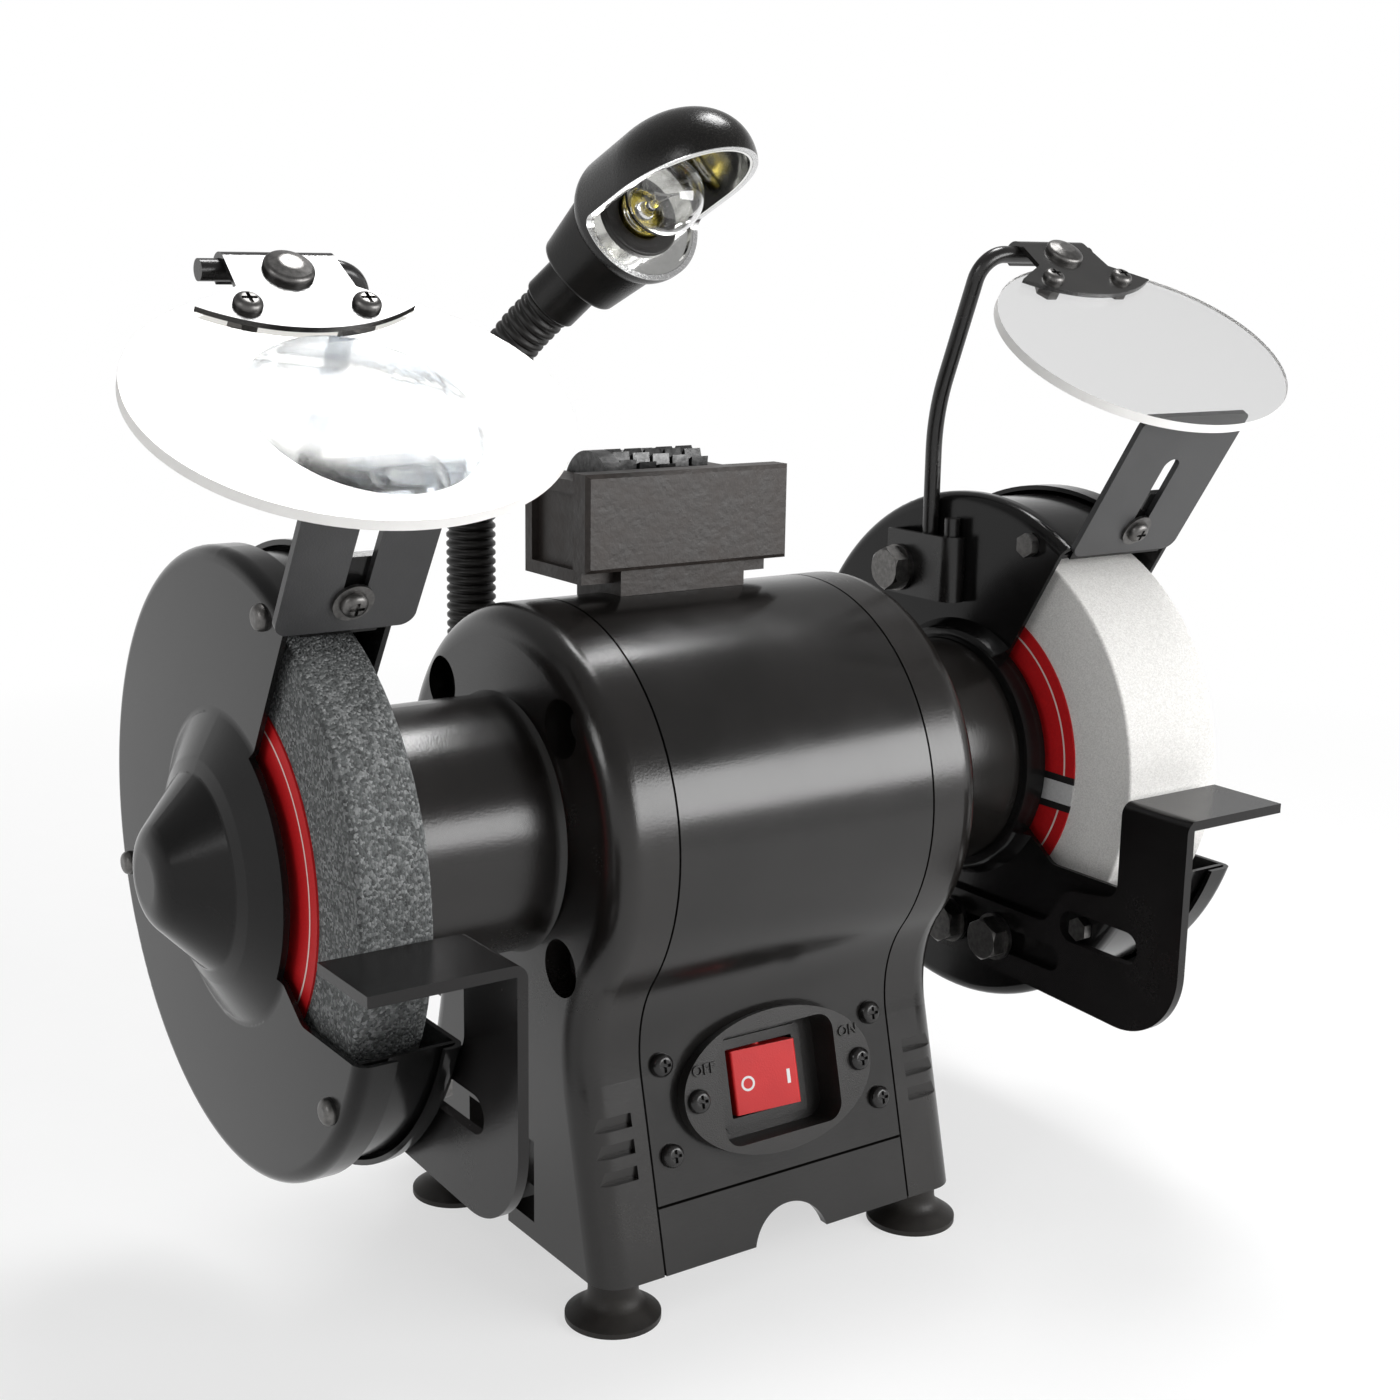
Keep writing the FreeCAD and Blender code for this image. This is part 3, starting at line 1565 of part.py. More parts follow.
def lamp_arm():
    """Ribbed flexible tube: plain ends, ribs between them and a bore for the leads."""
    plain = arm_radius
    ribs = int((arm_length - 2 * plain) // arm_rib_pitch)
    pitch = (arm_length - 2 * plain) / ribs
    root = arm_radius - arm_groove
    rings = [arm_ring(0, root)]
    for k in range(ribs):
        start = plain + k * pitch
        for share, radius in ((0.0, root), (0.25, root), (0.45, arm_radius), (0.8, arm_radius)):
            rings.append(arm_ring(start + share * pitch, radius))
    rings.append(arm_ring(arm_length - plain, root))
    rings.append(arm_ring(arm_length, root))
    tube = Part.makeLoft(rings, True, True)
    start = arm_point(0)[0]
    arc_start = arm_point(arm_vertical)[0]
    arc_middle = arm_point(arm_vertical + arm_arc / 2)[0]
    arc_end = arm_point(arm_vertical + arm_arc)[0]
    end = arm_point(arm_length)[0]
    path = Part.Wire(
        [
            Part.LineSegment(start, arc_start).toShape(),
            Part.Arc(arc_start, arc_middle, arc_end).toShape(),
            Part.LineSegment(arc_end, end).toShape(),
        ]
    )
    bore = path.makePipeShell([Part.Wire(Part.Circle(start, UP, arm_bore).toShape())], True, False)
    solid = tube.cut(bore)
    shell = math.pi * (root ** 2 - arm_bore ** 2) * arm_length
    full = math.pi * (arm_radius ** 2 - arm_bore ** 2) * arm_length
    print("arm ribs", ribs, "volume", round(solid.Volume), "between", round(shell), round(full))
    return solid


def lamp_mount():
    """Bracket on the back of the cover with a shelf and a nut that holds the flexible arm."""
    reach = arm_y + mount_margin
    x0 = arm_x - mount_half_width
    x1 = arm_x + mount_half_width
    back = housing_slab(x0, x1, -mount_sheet).cut(housing_slab(x0 - 1, x1 + 1, -fit_clearance))
    back = back.common(block(x0, x1, 0, base_half_depth + 2 * mount_sheet, mount_bottom, mount_shelf))
    shelf = block(x0, x1, 0, reach, mount_shelf, mount_shelf + mount_sheet)
    shelf = shelf.cut(housing_slab(x0 - 1, x1 + 1, -fit_clearance))
    foot = V(arm_x, arm_y, mount_shelf + mount_sheet)
    nut = hexagon(2 * arm_nut_radius * 0.9, arm_nut_height).translated(foot)
    depth, slope = skin_at(cover_screw_low)
    outward = V(0, math.cos(slope), math.sin(slope))
    clear = Part.makeCylinder(
        screw_head_radius + part_clearance, 4 * mount_sheet, V(0, 0, -mount_sheet)
    )
    clear = aimed(clear, V(-cover_screw_x, depth, cover_screw_low), outward)
    return fused([back, shelf, nut]).cut(clear)


def lamp_frame(shape):
    """Moves a shape from the lamp's axes to the end of the arm."""
    across = lamp_axis.cross(UP).normalize() * -1
    upward = lamp_axis.cross(across)
    return framed(shape, arm_point(arm_length)[0], across, upward, lamp_axis)


def hood_frame(shape):
    """Moves a shape from the hood's axes to its floor; local -Y is the open side."""
    heading_angle = math.radians(hood_heading)
    rise_angle = math.radians(hood_rise)
    axis = V(math.cos(heading_angle), math.sin(heading_angle), math.tan(rise_angle)).normalize()
    across = axis.cross(UP).normalize() * -1
    centre = arm_point(arm_length)[0] + lamp_axis * hood_reach
    return framed(shape, centre, across, axis.cross(across), axis)


def lamp_neck():
    """Sleeve over the plain end of the flexible arm."""
    bore = arm_radius - arm_groove + lamp_neck_clearance
    profile = [
        (bore, -lamp_neck_overlap, 0),
        (lamp_neck_radius, -lamp_neck_overlap, 0.8),
        (lamp_neck_radius, lamp_neck_length, 0),
        (arm_bore, lamp_neck_length, 0),
        (arm_bore, lamp_neck_clearance, 0),
        (bore, lamp_neck_clearance, 0),
    ]
    return lamp_frame(turned(profile))


def lamp_socket():
    """Flared sleeve whose end is cut to fit the tilted back of the hood."""
    floor = lamp_neck_length + lamp_socket_wall
    flare = lamp_neck_length + lamp_socket_flare
    end = lamp_neck_length + lamp_socket_length
    profile = [
        (arm_bore, lamp_neck_length, 0),
        (lamp_socket_root, lamp_neck_length, 1.5),
        (lamp_socket_radius, flare, 0),
        (lamp_socket_radius, end, 0),
        (lamp_socket_radius - lamp_socket_wall, end, 0),
        (lamp_socket_radius - lamp_socket_wall, flare, 0),
        (lamp_socket_root - lamp_socket_wall, floor, 0),
        (arm_bore, floor, 0),
    ]
    reach = 4 * hood_radius
    front = block(-reach, reach, -reach, reach, -fit_clearance, reach)
    sleeve = lamp_frame(turned(profile)).cut(hood_frame(hood_shape(-fit_clearance).fuse(front)))
    return max(sleeve.Solids, key=lambda s: s.Volume)


def hood_shape(inset):
    """Solid hood about its axis: a rounded back, a short barrel and a long dome in front."""
    radius = hood_radius - inset
    dome = hood_dome - inset
    rounding = hood_back_rounding - inset
    slant = rounding * math.sqrt(0.5)
    back = V(0, 0, inset - hood_back)
    rim = V(radius - rounding, 0, back.z)
    side = V(radius, 0, back.z + rounding)
    turn = rim + V(slant, 0, rounding - slant)
    shoulder = V(radius, 0, hood_barrel)
    tip = V(0, 0, hood_barrel + dome)
    ends = [tip, shoulder] if dome >= radius else [shoulder, tip]
    ellipse = Part.Ellipse(ends[0], ends[1], V(0, 0, hood_barrel))
    profile = [
        Part.LineSegment(back, rim).toShape(),
        Part.Arc(rim, turn, side).toShape(),
        Part.LineSegment(side, shoulder).toShape(),
        Part.Arc(ellipse, 0, math.pi / 2).toShape(),
        Part.LineSegment(tip, back).toShape(),
    ]
    face = Part.Face(Part.Wire(Part.__sortEdges__(profile)))
    return face.revolve(ORIGIN, UP, 360)


def hood_trim(shape):
    """Cuts the open side away in front of the reflector's floor."""
    reach = 4 * hood_radius
    mouth = block(-reach, reach, -reach, -hood_cut, reflector_lip, reach)
    edge = [
        e for e in mouth.Edges
        if all(abs(v.Y + hood_cut) < 1e-6 and abs(v.Z - reflector_lip) < 1e-6 for v in e.Vertexes)
    ]
    return shape.cut(mouth.makeFillet(hood_notch, edge))


def lamp_hood():
    shell = hood_trim(hood_shape(0.0).cut(hood_shape(hood_wall)))
    leads = Part.makeCylinder(arm_bore, hood_reach, arm_point(arm_length)[0], lamp_axis)
    return hood_frame(shell).cut(leads)


def lamp_reflector():
    """Bright lining of the dome with a floor that carries the lamp holder."""
    reach = 4 * hood_radius
    outer = hood_shape(hood_wall + reflector_gap)
    inner = hood_shape(hood_wall + reflector_gap + reflector_sheet)
    inner = inner.common(block(-reach, reach, -reach, reach, 0, reach))
    sheet = outer.cut(inner).common(block(-reach, reach, -reach, reach, -reflector_sheet, reach))
    bore = Part.makeCylinder(holder_radius + fit_clearance, hood_radius, V(0, 0, -hood_radius / 2))
    return hood_frame(hood_trim(sheet.cut(bore)))


def lamp_holder():
    bore = bulb_base_radius + part_clearance
    profile = [
        (bore, -holder_length, 0),
        (holder_radius, -holder_length, 0),
        (holder_radius, 0, 0),
        (holder_ring_radius, 0, 0),
        (holder_ring_radius, holder_wall, holder_wall / 2),
        (bore, holder_wall, holder_wall / 2),
    ]
    return hood_frame(turned(profile))


def bulb_base():
    bottom = bulb_base_stickout - bulb_base_length
    tip = bulb_base_radius / 3
    profile = [
        (0, bottom, 0),
        (tip, bottom, 0),
        (bulb_base_radius, bottom + tip, tip / 3),
        (bulb_base_radius, bulb_base_stickout, 0),
        (0, bulb_base_stickout, 0),
    ]
    return hood_frame(turned(profile))


def lamp_bulb():
    ball = Part.makeSphere(bulb_radius, V(0, 0, bulb_centre))
    length = bulb_centre - bulb_base_stickout
    neck = Part.makeCylinder(bulb_neck_radius, length, V(0, 0, bulb_base_stickout))
    return hood_frame(fused([ball, neck]))


def dresser_holder():
    x0 = dresser_x - holder_width / 2
    x1 = dresser_x + holder_width / 2
    rear = holder_front + holder_depth
    saddle = block(x0, x1, holder_front, rear, spindle_height, block_bottom)
    saddle = saddle.cut(housing_slab(x0 - 1, x1 + 1, -fit_clearance))
    tongue = block(
        dresser_x - tongue_width / 2,
        dresser_x + tongue_width / 2,
        (holder_front + rear - tongue_depth) / 2,
        (holder_front + rear + tongue_depth) / 2,
        block_bottom - 1,
        block_bottom + tongue_height,
    )
    return fused([saddle, tongue])


def cutter_span():
    """Ends of the cutter stack along X, with the side gap that lets it spin."""
    half = cutter_count * (cutter_width + cutter_gap) / 2
    return dresser_x - half, dresser_x + half


def dresser_body():
    slab_rear = dresser_front + slab_thickness
    half = dresser_width / 2
    slab = block(
        dresser_x - half, dresser_x + half, dresser_front, slab_rear, slab_bottom, slab_bottom + slab_height
    )
    front = [
        e for e in slab.Edges if all(abs(v.Y - dresser_front) < 1e-6 for v in e.Vertexes)
    ]
    slab = slab.makeChamfer(1.2, front)
    body = block(
        dresser_x - block_width / 2,
        dresser_x + block_width / 2,
        slab_rear,
        slab_rear + block_depth,
        block_bottom,
        block_top,
    )
    skirt = block(
        dresser_x - holder_width / 2,
        dresser_x + holder_width / 2,
        holder_front,
        slab_rear,
        block_bottom,
        slab_bottom,
    )
    solid = fused([slab, body, skirt])
    x0, x1 = cutter_span()
    trough_half = cutter_radius + cutter_clearance
    trough = block(
        x0 - cutter_clearance,
        x1 + cutter_clearance,
        cutter_y - trough_half,
        cutter_y + trough_half,
        cutter_height - trough_half,
        block_top + 1,
    )
    rear = holder_front + holder_depth
    tongue = block(
        dresser_x - tongue_width / 2 - tongue_clearance,
        dresser_x + tongue_width / 2 + tongue_clearance,
        (holder_front + rear - tongue_depth) / 2 - tongue_clearance,
        (holder_front + rear + tongue_depth) / 2 + tongue_clearance,
        block_bottom - 1,
        block_bottom + tongue_height + tongue_clearance,
    )
    panels = []
    for sign in (-1, 1):
        outside = dresser_x + sign * (block_width / 2 + 1)
        inside = dresser_x + sign * (block_width / 2 - block_panel_depth)
        panels.append(
            block(
                min(outside, inside),
                max(outside, inside),
                slab_rear + block_panel_margin,
                slab_rear + block_depth - block_panel_margin,
                block_bottom + block_panel_margin,
                block_top - block_panel_margin,
            )
        )
    pin = rod_x(
        cutter_pin_radius + cutter_pin_clearance,
        x0 - cutter_clearance - cutter_pin_seat,
        x1 + cutter_clearance + cutter_pin_seat,
        cutter_y,
        cutter_height,
    )
    return solid.cut([trough, tongue, pin] + panels)


def dresser_pin():
    x0, x1 = cutter_span()
    return rod_x(
        cutter_pin_radius,
        x0 - cutter_clearance - cutter_pin_seat,
        x1 + cutter_clearance + cutter_pin_seat,
        cutter_y,
        cutter_height,
    )


def dresser_cutters():
    """A plain end disc and toothed cutters, side by side on the pin."""
    x0, _ = cutter_span()
    bore_radius = cutter_pin_radius + cutter_pin_clearance
    pieces = []
    for index in range(cutter_count):
        x = x0 + index * (cutter_width + cutter_gap) + cutter_gap / 2
        if index == 0:
            disc = rod_x(cutter_radius, x, x + cutter_width, cutter_y, cutter_height)
        else:
            corners = []
            for k in range(2 * cutter_points):
                angle = math.pi * (k + index * 0.5) / cutter_points
                radius = cutter_radius if k % 2 == 0 else cutter_root
                corners.append(
                    (cutter_y + radius * math.cos(angle), cutter_height + radius * math.sin(angle), 0)
                )
            disc = outline_face(corners, at_x(x)).extrude(V(cutter_width, 0, 0))
        bore = rod_x(bore_radius, x - 1, x + cutter_width + 1, cutter_y, cutter_height)
        pieces.append(disc.cut(bore))
    return group(pieces)


nodes = {
    "motor_cover": motor_cover(),
    "base_apron": base_apron(),
    "left_end_bell": left.placed(end_bell(left)),
    "right_end_bell": right.placed(end_bell(right)),
    "rubber_feet": rubber_feet(),
    "tie_bolts": tie_bolts(),
    "stator_core": stator_core(),
    "stator_windings": stator_windings(),
    "capacitor": capacitor(),
    "cord_gland": cord_gland(),
    "switch_bezel": switch_bezel(),
    "switch_case": switch_case(),
    "switch_rocker": switch_rocker(),
    "panel_screws": panel_screws(),
    "bearing_outer_rings": bearing_rings(False),
    "bearing_inner_rings": bearing_rings(True),
    "spindle": spindle(),
    "rotor_core": rotor_core(),
    "wheel_blotters": wheel_blotters(),
    "wheel_flanges": wheel_flanges(),
    "spindle_nuts": spindle_nuts(),
    "guard_screws": guard_screws(),
    "rest_bolts": rest_bolts(),
    "arrestor_screws": arrestor_screws(),
    "clamp_bolts": clamp_bolts(),
    "magnifier_lens": magnifier_lens(),
    "lamp_arm": lamp_arm(),
    "lamp_mount": lamp_mount(),
    "lamp_neck": lamp_neck(),
    "lamp_socket": lamp_socket(),
    "lamp_hood": lamp_hood(),
    "lamp_reflector": lamp_reflector(),
    "lamp_holder": lamp_holder(),
    "bulb_base": bulb_base(),
    "lamp_bulb": lamp_bulb(),
    "dresser_holder": dresser_holder(),
    "dresser_body": dresser_body(),
    "dresser_pin": dresser_pin(),
    "dresser_cutters": dresser_cutters(),
}
for side in sides:
    nodes[side.name + "_wheel"] = wheel(side)
    nodes[side.name + "_guard"] = guard_inner(side)
    nodes[side.name + "_guard_cover"] = guard_cover(side)
    nodes[side.name + "_tool_rest"] = tool_rest(side)
    nodes[side.name + "_spark_arrestor"] = spark_arrestor(side)
    nodes[side.name + "_rod_clamp"] = rod_clamp(side)
    nodes[side.name + "_shield_rod"] = shield_rod(side)
    nodes[side.name + "_shield_bracket"] = shield_bracket(side)
    nodes[side.name + "_shield_fasteners"] = shield_fasteners(side)
    nodes[side.name + "_eye_shield"] = eye_shield(side)

os.makedirs("parts", exist_ok=True)
for name, shape in nodes.items():
    shape.exportStep("parts/" + name + ".step")
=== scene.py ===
import math

import bmesh
import bpy
from mathutils import Matrix, Vector


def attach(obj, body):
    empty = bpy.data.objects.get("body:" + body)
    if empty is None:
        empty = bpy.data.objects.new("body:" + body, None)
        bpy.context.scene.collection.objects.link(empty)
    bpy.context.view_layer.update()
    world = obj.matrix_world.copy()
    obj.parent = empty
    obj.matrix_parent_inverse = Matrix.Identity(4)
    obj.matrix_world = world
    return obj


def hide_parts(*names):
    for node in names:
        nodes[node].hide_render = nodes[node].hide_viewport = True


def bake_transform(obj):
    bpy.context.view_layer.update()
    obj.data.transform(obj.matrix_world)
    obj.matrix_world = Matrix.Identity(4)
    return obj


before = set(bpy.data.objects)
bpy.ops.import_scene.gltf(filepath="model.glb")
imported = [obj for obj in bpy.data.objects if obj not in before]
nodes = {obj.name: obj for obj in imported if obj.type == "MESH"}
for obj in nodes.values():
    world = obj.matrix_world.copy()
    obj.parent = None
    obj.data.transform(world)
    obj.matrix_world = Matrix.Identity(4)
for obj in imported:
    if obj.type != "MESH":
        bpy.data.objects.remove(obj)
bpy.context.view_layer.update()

# Metres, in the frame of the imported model: X along the spindle, -Y the front, +Z up.
MM = 0.001
ACROSS = Vector((1, 0, 0))
BACK = Vector((0, 1, 0))
UP = Vector((0, 0, 1))
scene = bpy.context.scene

# Sizes repeated from the part's source
spindle_height = 140 * MM
switch_lean = math.radians(13.99)
switch_point = Vector((0, -47.99, 61.0)) * MM
bezel_front = 4 * MM
rocker_front = -3.3 * MM
rocker_lean = math.radians(8)
shield_tilts = {"left_eye_shield": math.radians(35), "right_eye_shield": math.radians(33)}
arm_foot = Vector((-36, 73.1, 76)) * MM
arm_vertical = 155.3 * MM
arm_bend_radius = 68.3 * MM
arm_turn = math.radians(48)
arm_heading = math.radians(-57.6)
arm_end_straight = 16 * MM
arm_radius = 8 * MM
arm_groove = 0.9 * MM
arm_bore = 4.5 * MM
arm_ribs = 73
hood_reach = 32.4 * MM
hood_heading = math.radians(-87.8)
hood_rise = math.radians(23.7)
hood_cut = 2 * MM
hood_notch = 3 * MM
reflector_lip = 0.9 * MM
bulb_radius = 11.8 * MM
bulb_neck_radius = 7 * MM
bulb_centre = 14.6 * MM
bulb_base_top = 2.2 * MM

# Wheel label: its ring by distance from the spindle's line, its bars and strip by height above it
label_ring = (46.2 * MM, 46.9 * MM)
label_bars = (-13 * MM, -1 * MM)
label_strip = (-10.6 * MM, -3.4 * MM)

# Half the width of the hood's bright edge, across its cut
hood_edge_reach = 0.2 * MM

# Arm: its ribs' outline, and the sides and bore steps of its mesh
rib_outline = (
    (0.0, 0.0), (0.22, 0.0), (0.32, 0.55), (0.44, 0.92), (0.60, 1.0), (0.76, 0.92), (0.88, 0.55),
)
arm_sides = 28
bore_steps = 40

# Bulb: glass, stem as radii and rises in millimetres, leads and filament
glass_wall = 0.6 * MM
bulb_sides = 48
bulb_steps = 28
stem_outline = ((0, 0), (3.4, 0), (3.0, 1.5), (1.5, 5), (1.2, 7.5), (0, 8))
stem_sides = 20
lead_foot = bulb_base_top + 7.2 * MM
lead_start = 0.6 * MM
lead_knee = 1.4 * MM
lead_knee_rise = 2 * MM
lead_shoulder_share = 0.8
lead_shoulder_drop = 1.5 * MM
lead_bow = 0.3 * MM
lead_radius = 0.22 * MM
filament_top = bulb_centre + 1.5 * MM
filament_reach = 4.6 * MM
filament_sag = 1.2 * MM
coil_turns = 22
coil_steps = 8
coil_radius = 0.35 * MM
coil_wire_radius = 0.09 * MM
coil_wire_sides = 5

# Switch marks and words: places are along and up the switch from its middle
mark_sunk = -0.05 * MM
mark_proud = 0.06 * MM
off_mark_place = (-6.4 * MM, -0.8 * MM)
off_mark_radii = (2.3 * MM, 1.6 * MM)
off_mark_sides = 40
on_mark_place = (7.6 * MM, -1.2 * MM)
on_mark_half = (0.55 * MM, 2.2 * MM)
off_word_place = (-27.0 * MM, 8.6 * MM)
on_word_place = (27.0 * MM, 9.4 * MM)
word_size = 4.4 * MM
letter_depth = 0.35 * MM
letter_bevel = 0.08 * MM
letter_lift = 0.1 * MM
letter_spacing = 1.1

# Camera at the photograph's viewpoint
camera_position = Vector((-348.06, -503.91, 306.08)) * MM
camera_target = Vector((4.2, 0, 165.7)) * MM
camera_roll = math.radians(0.95)
camera_lens = 52.13
camera_sensor = 36.0
camera_shift = (0.0005, 0.006)
camera_near = 0.01

# Studio: levels where 1 is white, and the stretches over which they fade
world_fill = 0.35
ceiling_level = 0.22
ceiling_fade = (0.15, 0.55)
floor_radii = (0.0, 0.2, 0.5, 1.0, 2.0, 4.0)
floor_sides = 64
floor_near_share = 0.6
floor_fade = (0.35, 0.9)
light_target = Vector((0, 0, 0.15))

# The flexible arm's route
arm_forward = Vector((math.cos(arm_heading), math.sin(arm_heading), 0))
bend_side = UP.cross(arm_forward)
arm_arc = arm_bend_radius * arm_turn
arm_length = arm_vertical + arm_arc + arm_end_straight
lamp_axis = arm_forward * math.sin(arm_turn) + UP * math.cos(arm_turn)


def arm_at(distance):
    """Centre and direction of the arm at a distance along it."""
    if distance <= arm_vertical:
        return arm_foot + UP * distance, UP
    angle = min((distance - arm_vertical) / arm_bend_radius, arm_turn)
    along = arm_forward * math.sin(angle) + UP * math.cos(angle)
    forward = arm_forward * (arm_bend_radius * (1 - math.cos(angle)))
    rise = UP * (arm_vertical + arm_bend_radius * math.sin(angle))
    beyond = max(0.0, distance - arm_vertical - arm_arc)
    return arm_foot + forward + rise + along * beyond, along


# The hood's axes, from the middle of its floor
hood_axis = Vector((math.cos(hood_heading), math.sin(hood_heading), math.tan(hood_rise))).normalized()
hood_side = hood_axis.cross(UP).normalized() * -1
hood_back = hood_axis.cross(hood_side)
hood_floor = arm_at(arm_length)[0] + lamp_axis * hood_reach


def in_hood(x, y, z):
    return hood_floor + hood_side * x + hood_back * y + hood_axis * z


# The switch's axes, and those of its rocker's face
switch_outward = Vector((0, -math.cos(switch_lean), math.sin(switch_lean)))
switch_upward = Vector((0, math.sin(switch_lean), math.cos(switch_lean)))
key_across = ACROSS * math.cos(rocker_lean) + switch_outward * math.sin(rocker_lean)
key_outward = switch_outward * math.cos(rocker_lean) - ACROSS * math.sin(rocker_lean)


def on_switch(a, b, lift):
    return switch_point + ACROSS * a + switch_upward * b + switch_outward * lift


def on_key(a, b, lift):
    return on_switch(0, 0, rocker_front) + key_across * a + switch_upward * b + key_outward * lift


# Shader helpers
def add_node(tree, kind, inputs=None, **settings):
    """New shader node; inputs holds plain values or sockets to link."""
    made = tree.nodes.new("ShaderNode" + kind)
    for key, value in settings.items():
        setattr(made, key, value)
    for key, value in (inputs or {}).items():
        if isinstance(value, bpy.types.NodeSocket):
            tree.links.new(value, made.inputs[key])
        else:
            made.inputs[key].default_value = value
    return made


def sums(tree, operation, first, second=0.0):
    """Result socket of a Math node."""
    return add_node(tree, "Math", {0: first, 1: second}, operation=operation).outputs[0]


def place_of(tree):
    return add_node(tree, "TexCoord").outputs["Object"]


def noise(tree, scale, detail=3.0, roughness=0.55, stretch=None):
    """Noise in the piece's own space; scale counts features per metre."""
    where = place_of(tree)
    if stretch:
        where = add_node(tree, "Mapping", {"Vector": where, "Scale": stretch}).outputs[0]
    values = {"Vector": where, "Scale": scale, "Detail": detail, "Roughness": roughness}
    return add_node(tree, "TexNoise", values).outputs["Fac"]


def ranged(tree, value, low, high, start=0.3, end=0.7):
    """Value brought from start..end, the middle of a noise, to low..high."""
    values = {"Value": value, "From Min": start, "From Max": end, "To Min": low, "To Max": high}
    return add_node(tree, "MapRange", values).outputs["Result"]


def mixed(tree, factor, first, second):
    """Colour between two; a Mix node's colour sockets share their names, so they go by number."""
    return add_node(tree, "Mix", {0: factor, 6: first, 7: second}, data_type="RGBA").outputs[2]


def within(tree, value, span):
    """1 where a value lies inside a span, else 0."""
    above = sums(tree, "GREATER_THAN", value, span[0])
    return sums(tree, "MULTIPLY", above, sums(tree, "LESS_THAN", value, span[1]))


def hypotenuse(tree, one, two):
    squares = sums(tree, "ADD", sums(tree, "MULTIPLY", one, one), sums(tree, "MULTIPLY", two, two))
    return sums(tree, "SQRT", squares)


def along_axis(tree, origin, axis):
    """Signed distance of a shaded point from an origin along an axis."""
    offset = add_node(tree, "VectorMath", {0: place_of(tree), 1: tuple(origin)}, operation="SUBTRACT")
    values = {0: offset.outputs[0], 1: tuple(axis)}
    return add_node(tree, "VectorMath", values, operation="DOT_PRODUCT").outputs["Value"]


def flatness(tree, shield):
    """1 where a surface lies flat in a tilted shield's sheet, less where it curves away."""
    tilt = shield_tilts[shield]
    sheet_normal = (0.0, -math.sin(tilt), math.cos(tilt))
    values = {0: add_node(tree, "TexCoord").outputs["Normal"], 1: sheet_normal}
    facing = add_node(tree, "VectorMath", values, operation="DOT_PRODUCT").outputs["Value"]
    return sums(tree, "ABSOLUTE", facing)


def rgb(red, green, blue):
    return (red, green, blue, 1.0)


def grey(level):
    return rgb(level, level, level)


def new_material(name, **constants):
    """Principled material with its constant inputs set on their own sockets."""
    material = bpy.data.materials.new(name)
    material.use_nodes = True
    shader = material.node_tree.nodes["Principled BSDF"]
    for key, value in constants.items():
        shader.inputs[key.replace("_", " ")].default_value = value
    return material, material.node_tree, shader


def bumped(tree, shader, height, strength, distance):
    values = {"Height": height, "Strength": strength, "Distance": distance}
    tree.links.new(add_node(tree, "Bump", values).outputs[0], shader.inputs["Normal"])


# Kinds of material
def painted(name, dark, light, rough, grain, relief, patch=26.0, **constants):
    """Paint or moulded plastic: patchy shade, uneven gloss and a fine surface grain."""
    material, tree, shader = new_material(name, **constants)
    blotch = noise(tree, patch, detail=4.0)
    fine = noise(tree, grain, detail=2.0)
    shade = mixed(tree, ranged(tree, blotch, 0.0, 1.0), dark, light)
    tree.links.new(shade, shader.inputs["Base Color"])
    grain_in_gloss = sums(tree, "MULTIPLY", fine, 0.06)
    gloss = sums(tree, "ADD", ranged(tree, blotch, *rough), grain_in_gloss)
    tree.links.new(gloss, shader.inputs["Roughness"])
    bumped(tree, shader, fine, relief, 0.4 * MM)
    return material


def metal(name, dark, light, rough, grain, stretch=None, relief=0.15):
    """Bare or plated metal with drawn or cast marks."""
    material, tree, shader = new_material(name, Metallic=1.0)
    marks = noise(tree, grain, detail=5.0, roughness=0.65, stretch=stretch)
    cloud = noise(tree, 70.0)
    shade = mixed(tree, ranged(tree, marks, 0.0, 1.0), dark, light)
    tree.links.new(shade, shader.inputs["Base Color"])
    tree.links.new(ranged(tree, cloud, *rough), shader.inputs["Roughness"])
    bumped(tree, shader, marks, relief, 0.3 * MM)
    return material


def abrasive(name, dark, middle, light, grain, relief):
    """Bonded grit: light and dark grains with pits between them."""
    material, tree, shader = new_material(name, Roughness=0.9, Specular_IOR_Level=0.25)
    cells = add_node(tree, "TexVoronoi", {"Vector": place_of(tree), "Scale": grain})
    tone = add_node(tree, "SeparateColor", {"Color": cells.outputs["Color"]}).outputs[0]
    ramp = add_node(tree, "ValToRGB", {"Fac": tone})
    stops = ramp.color_ramp.elements
    stops[0].color = dark
    stops[1].color = light
    stops.new(0.5).color = middle
    fine = noise(tree, grain * 0.6, detail=4.0, roughness=0.7)
    shade = mixed(tree, ranged(tree, fine, 0.15, 0.75), ramp.outputs["Color"], middle)
    tree.links.new(shade, shader.inputs["Base Color"])
    pits = sums(tree, "SUBTRACT", fine, sums(tree, "MULTIPLY", cells.outputs["Distance"], 0.8))
    bumped(tree, shader, pits, relief, 0.9 * MM)
    return material


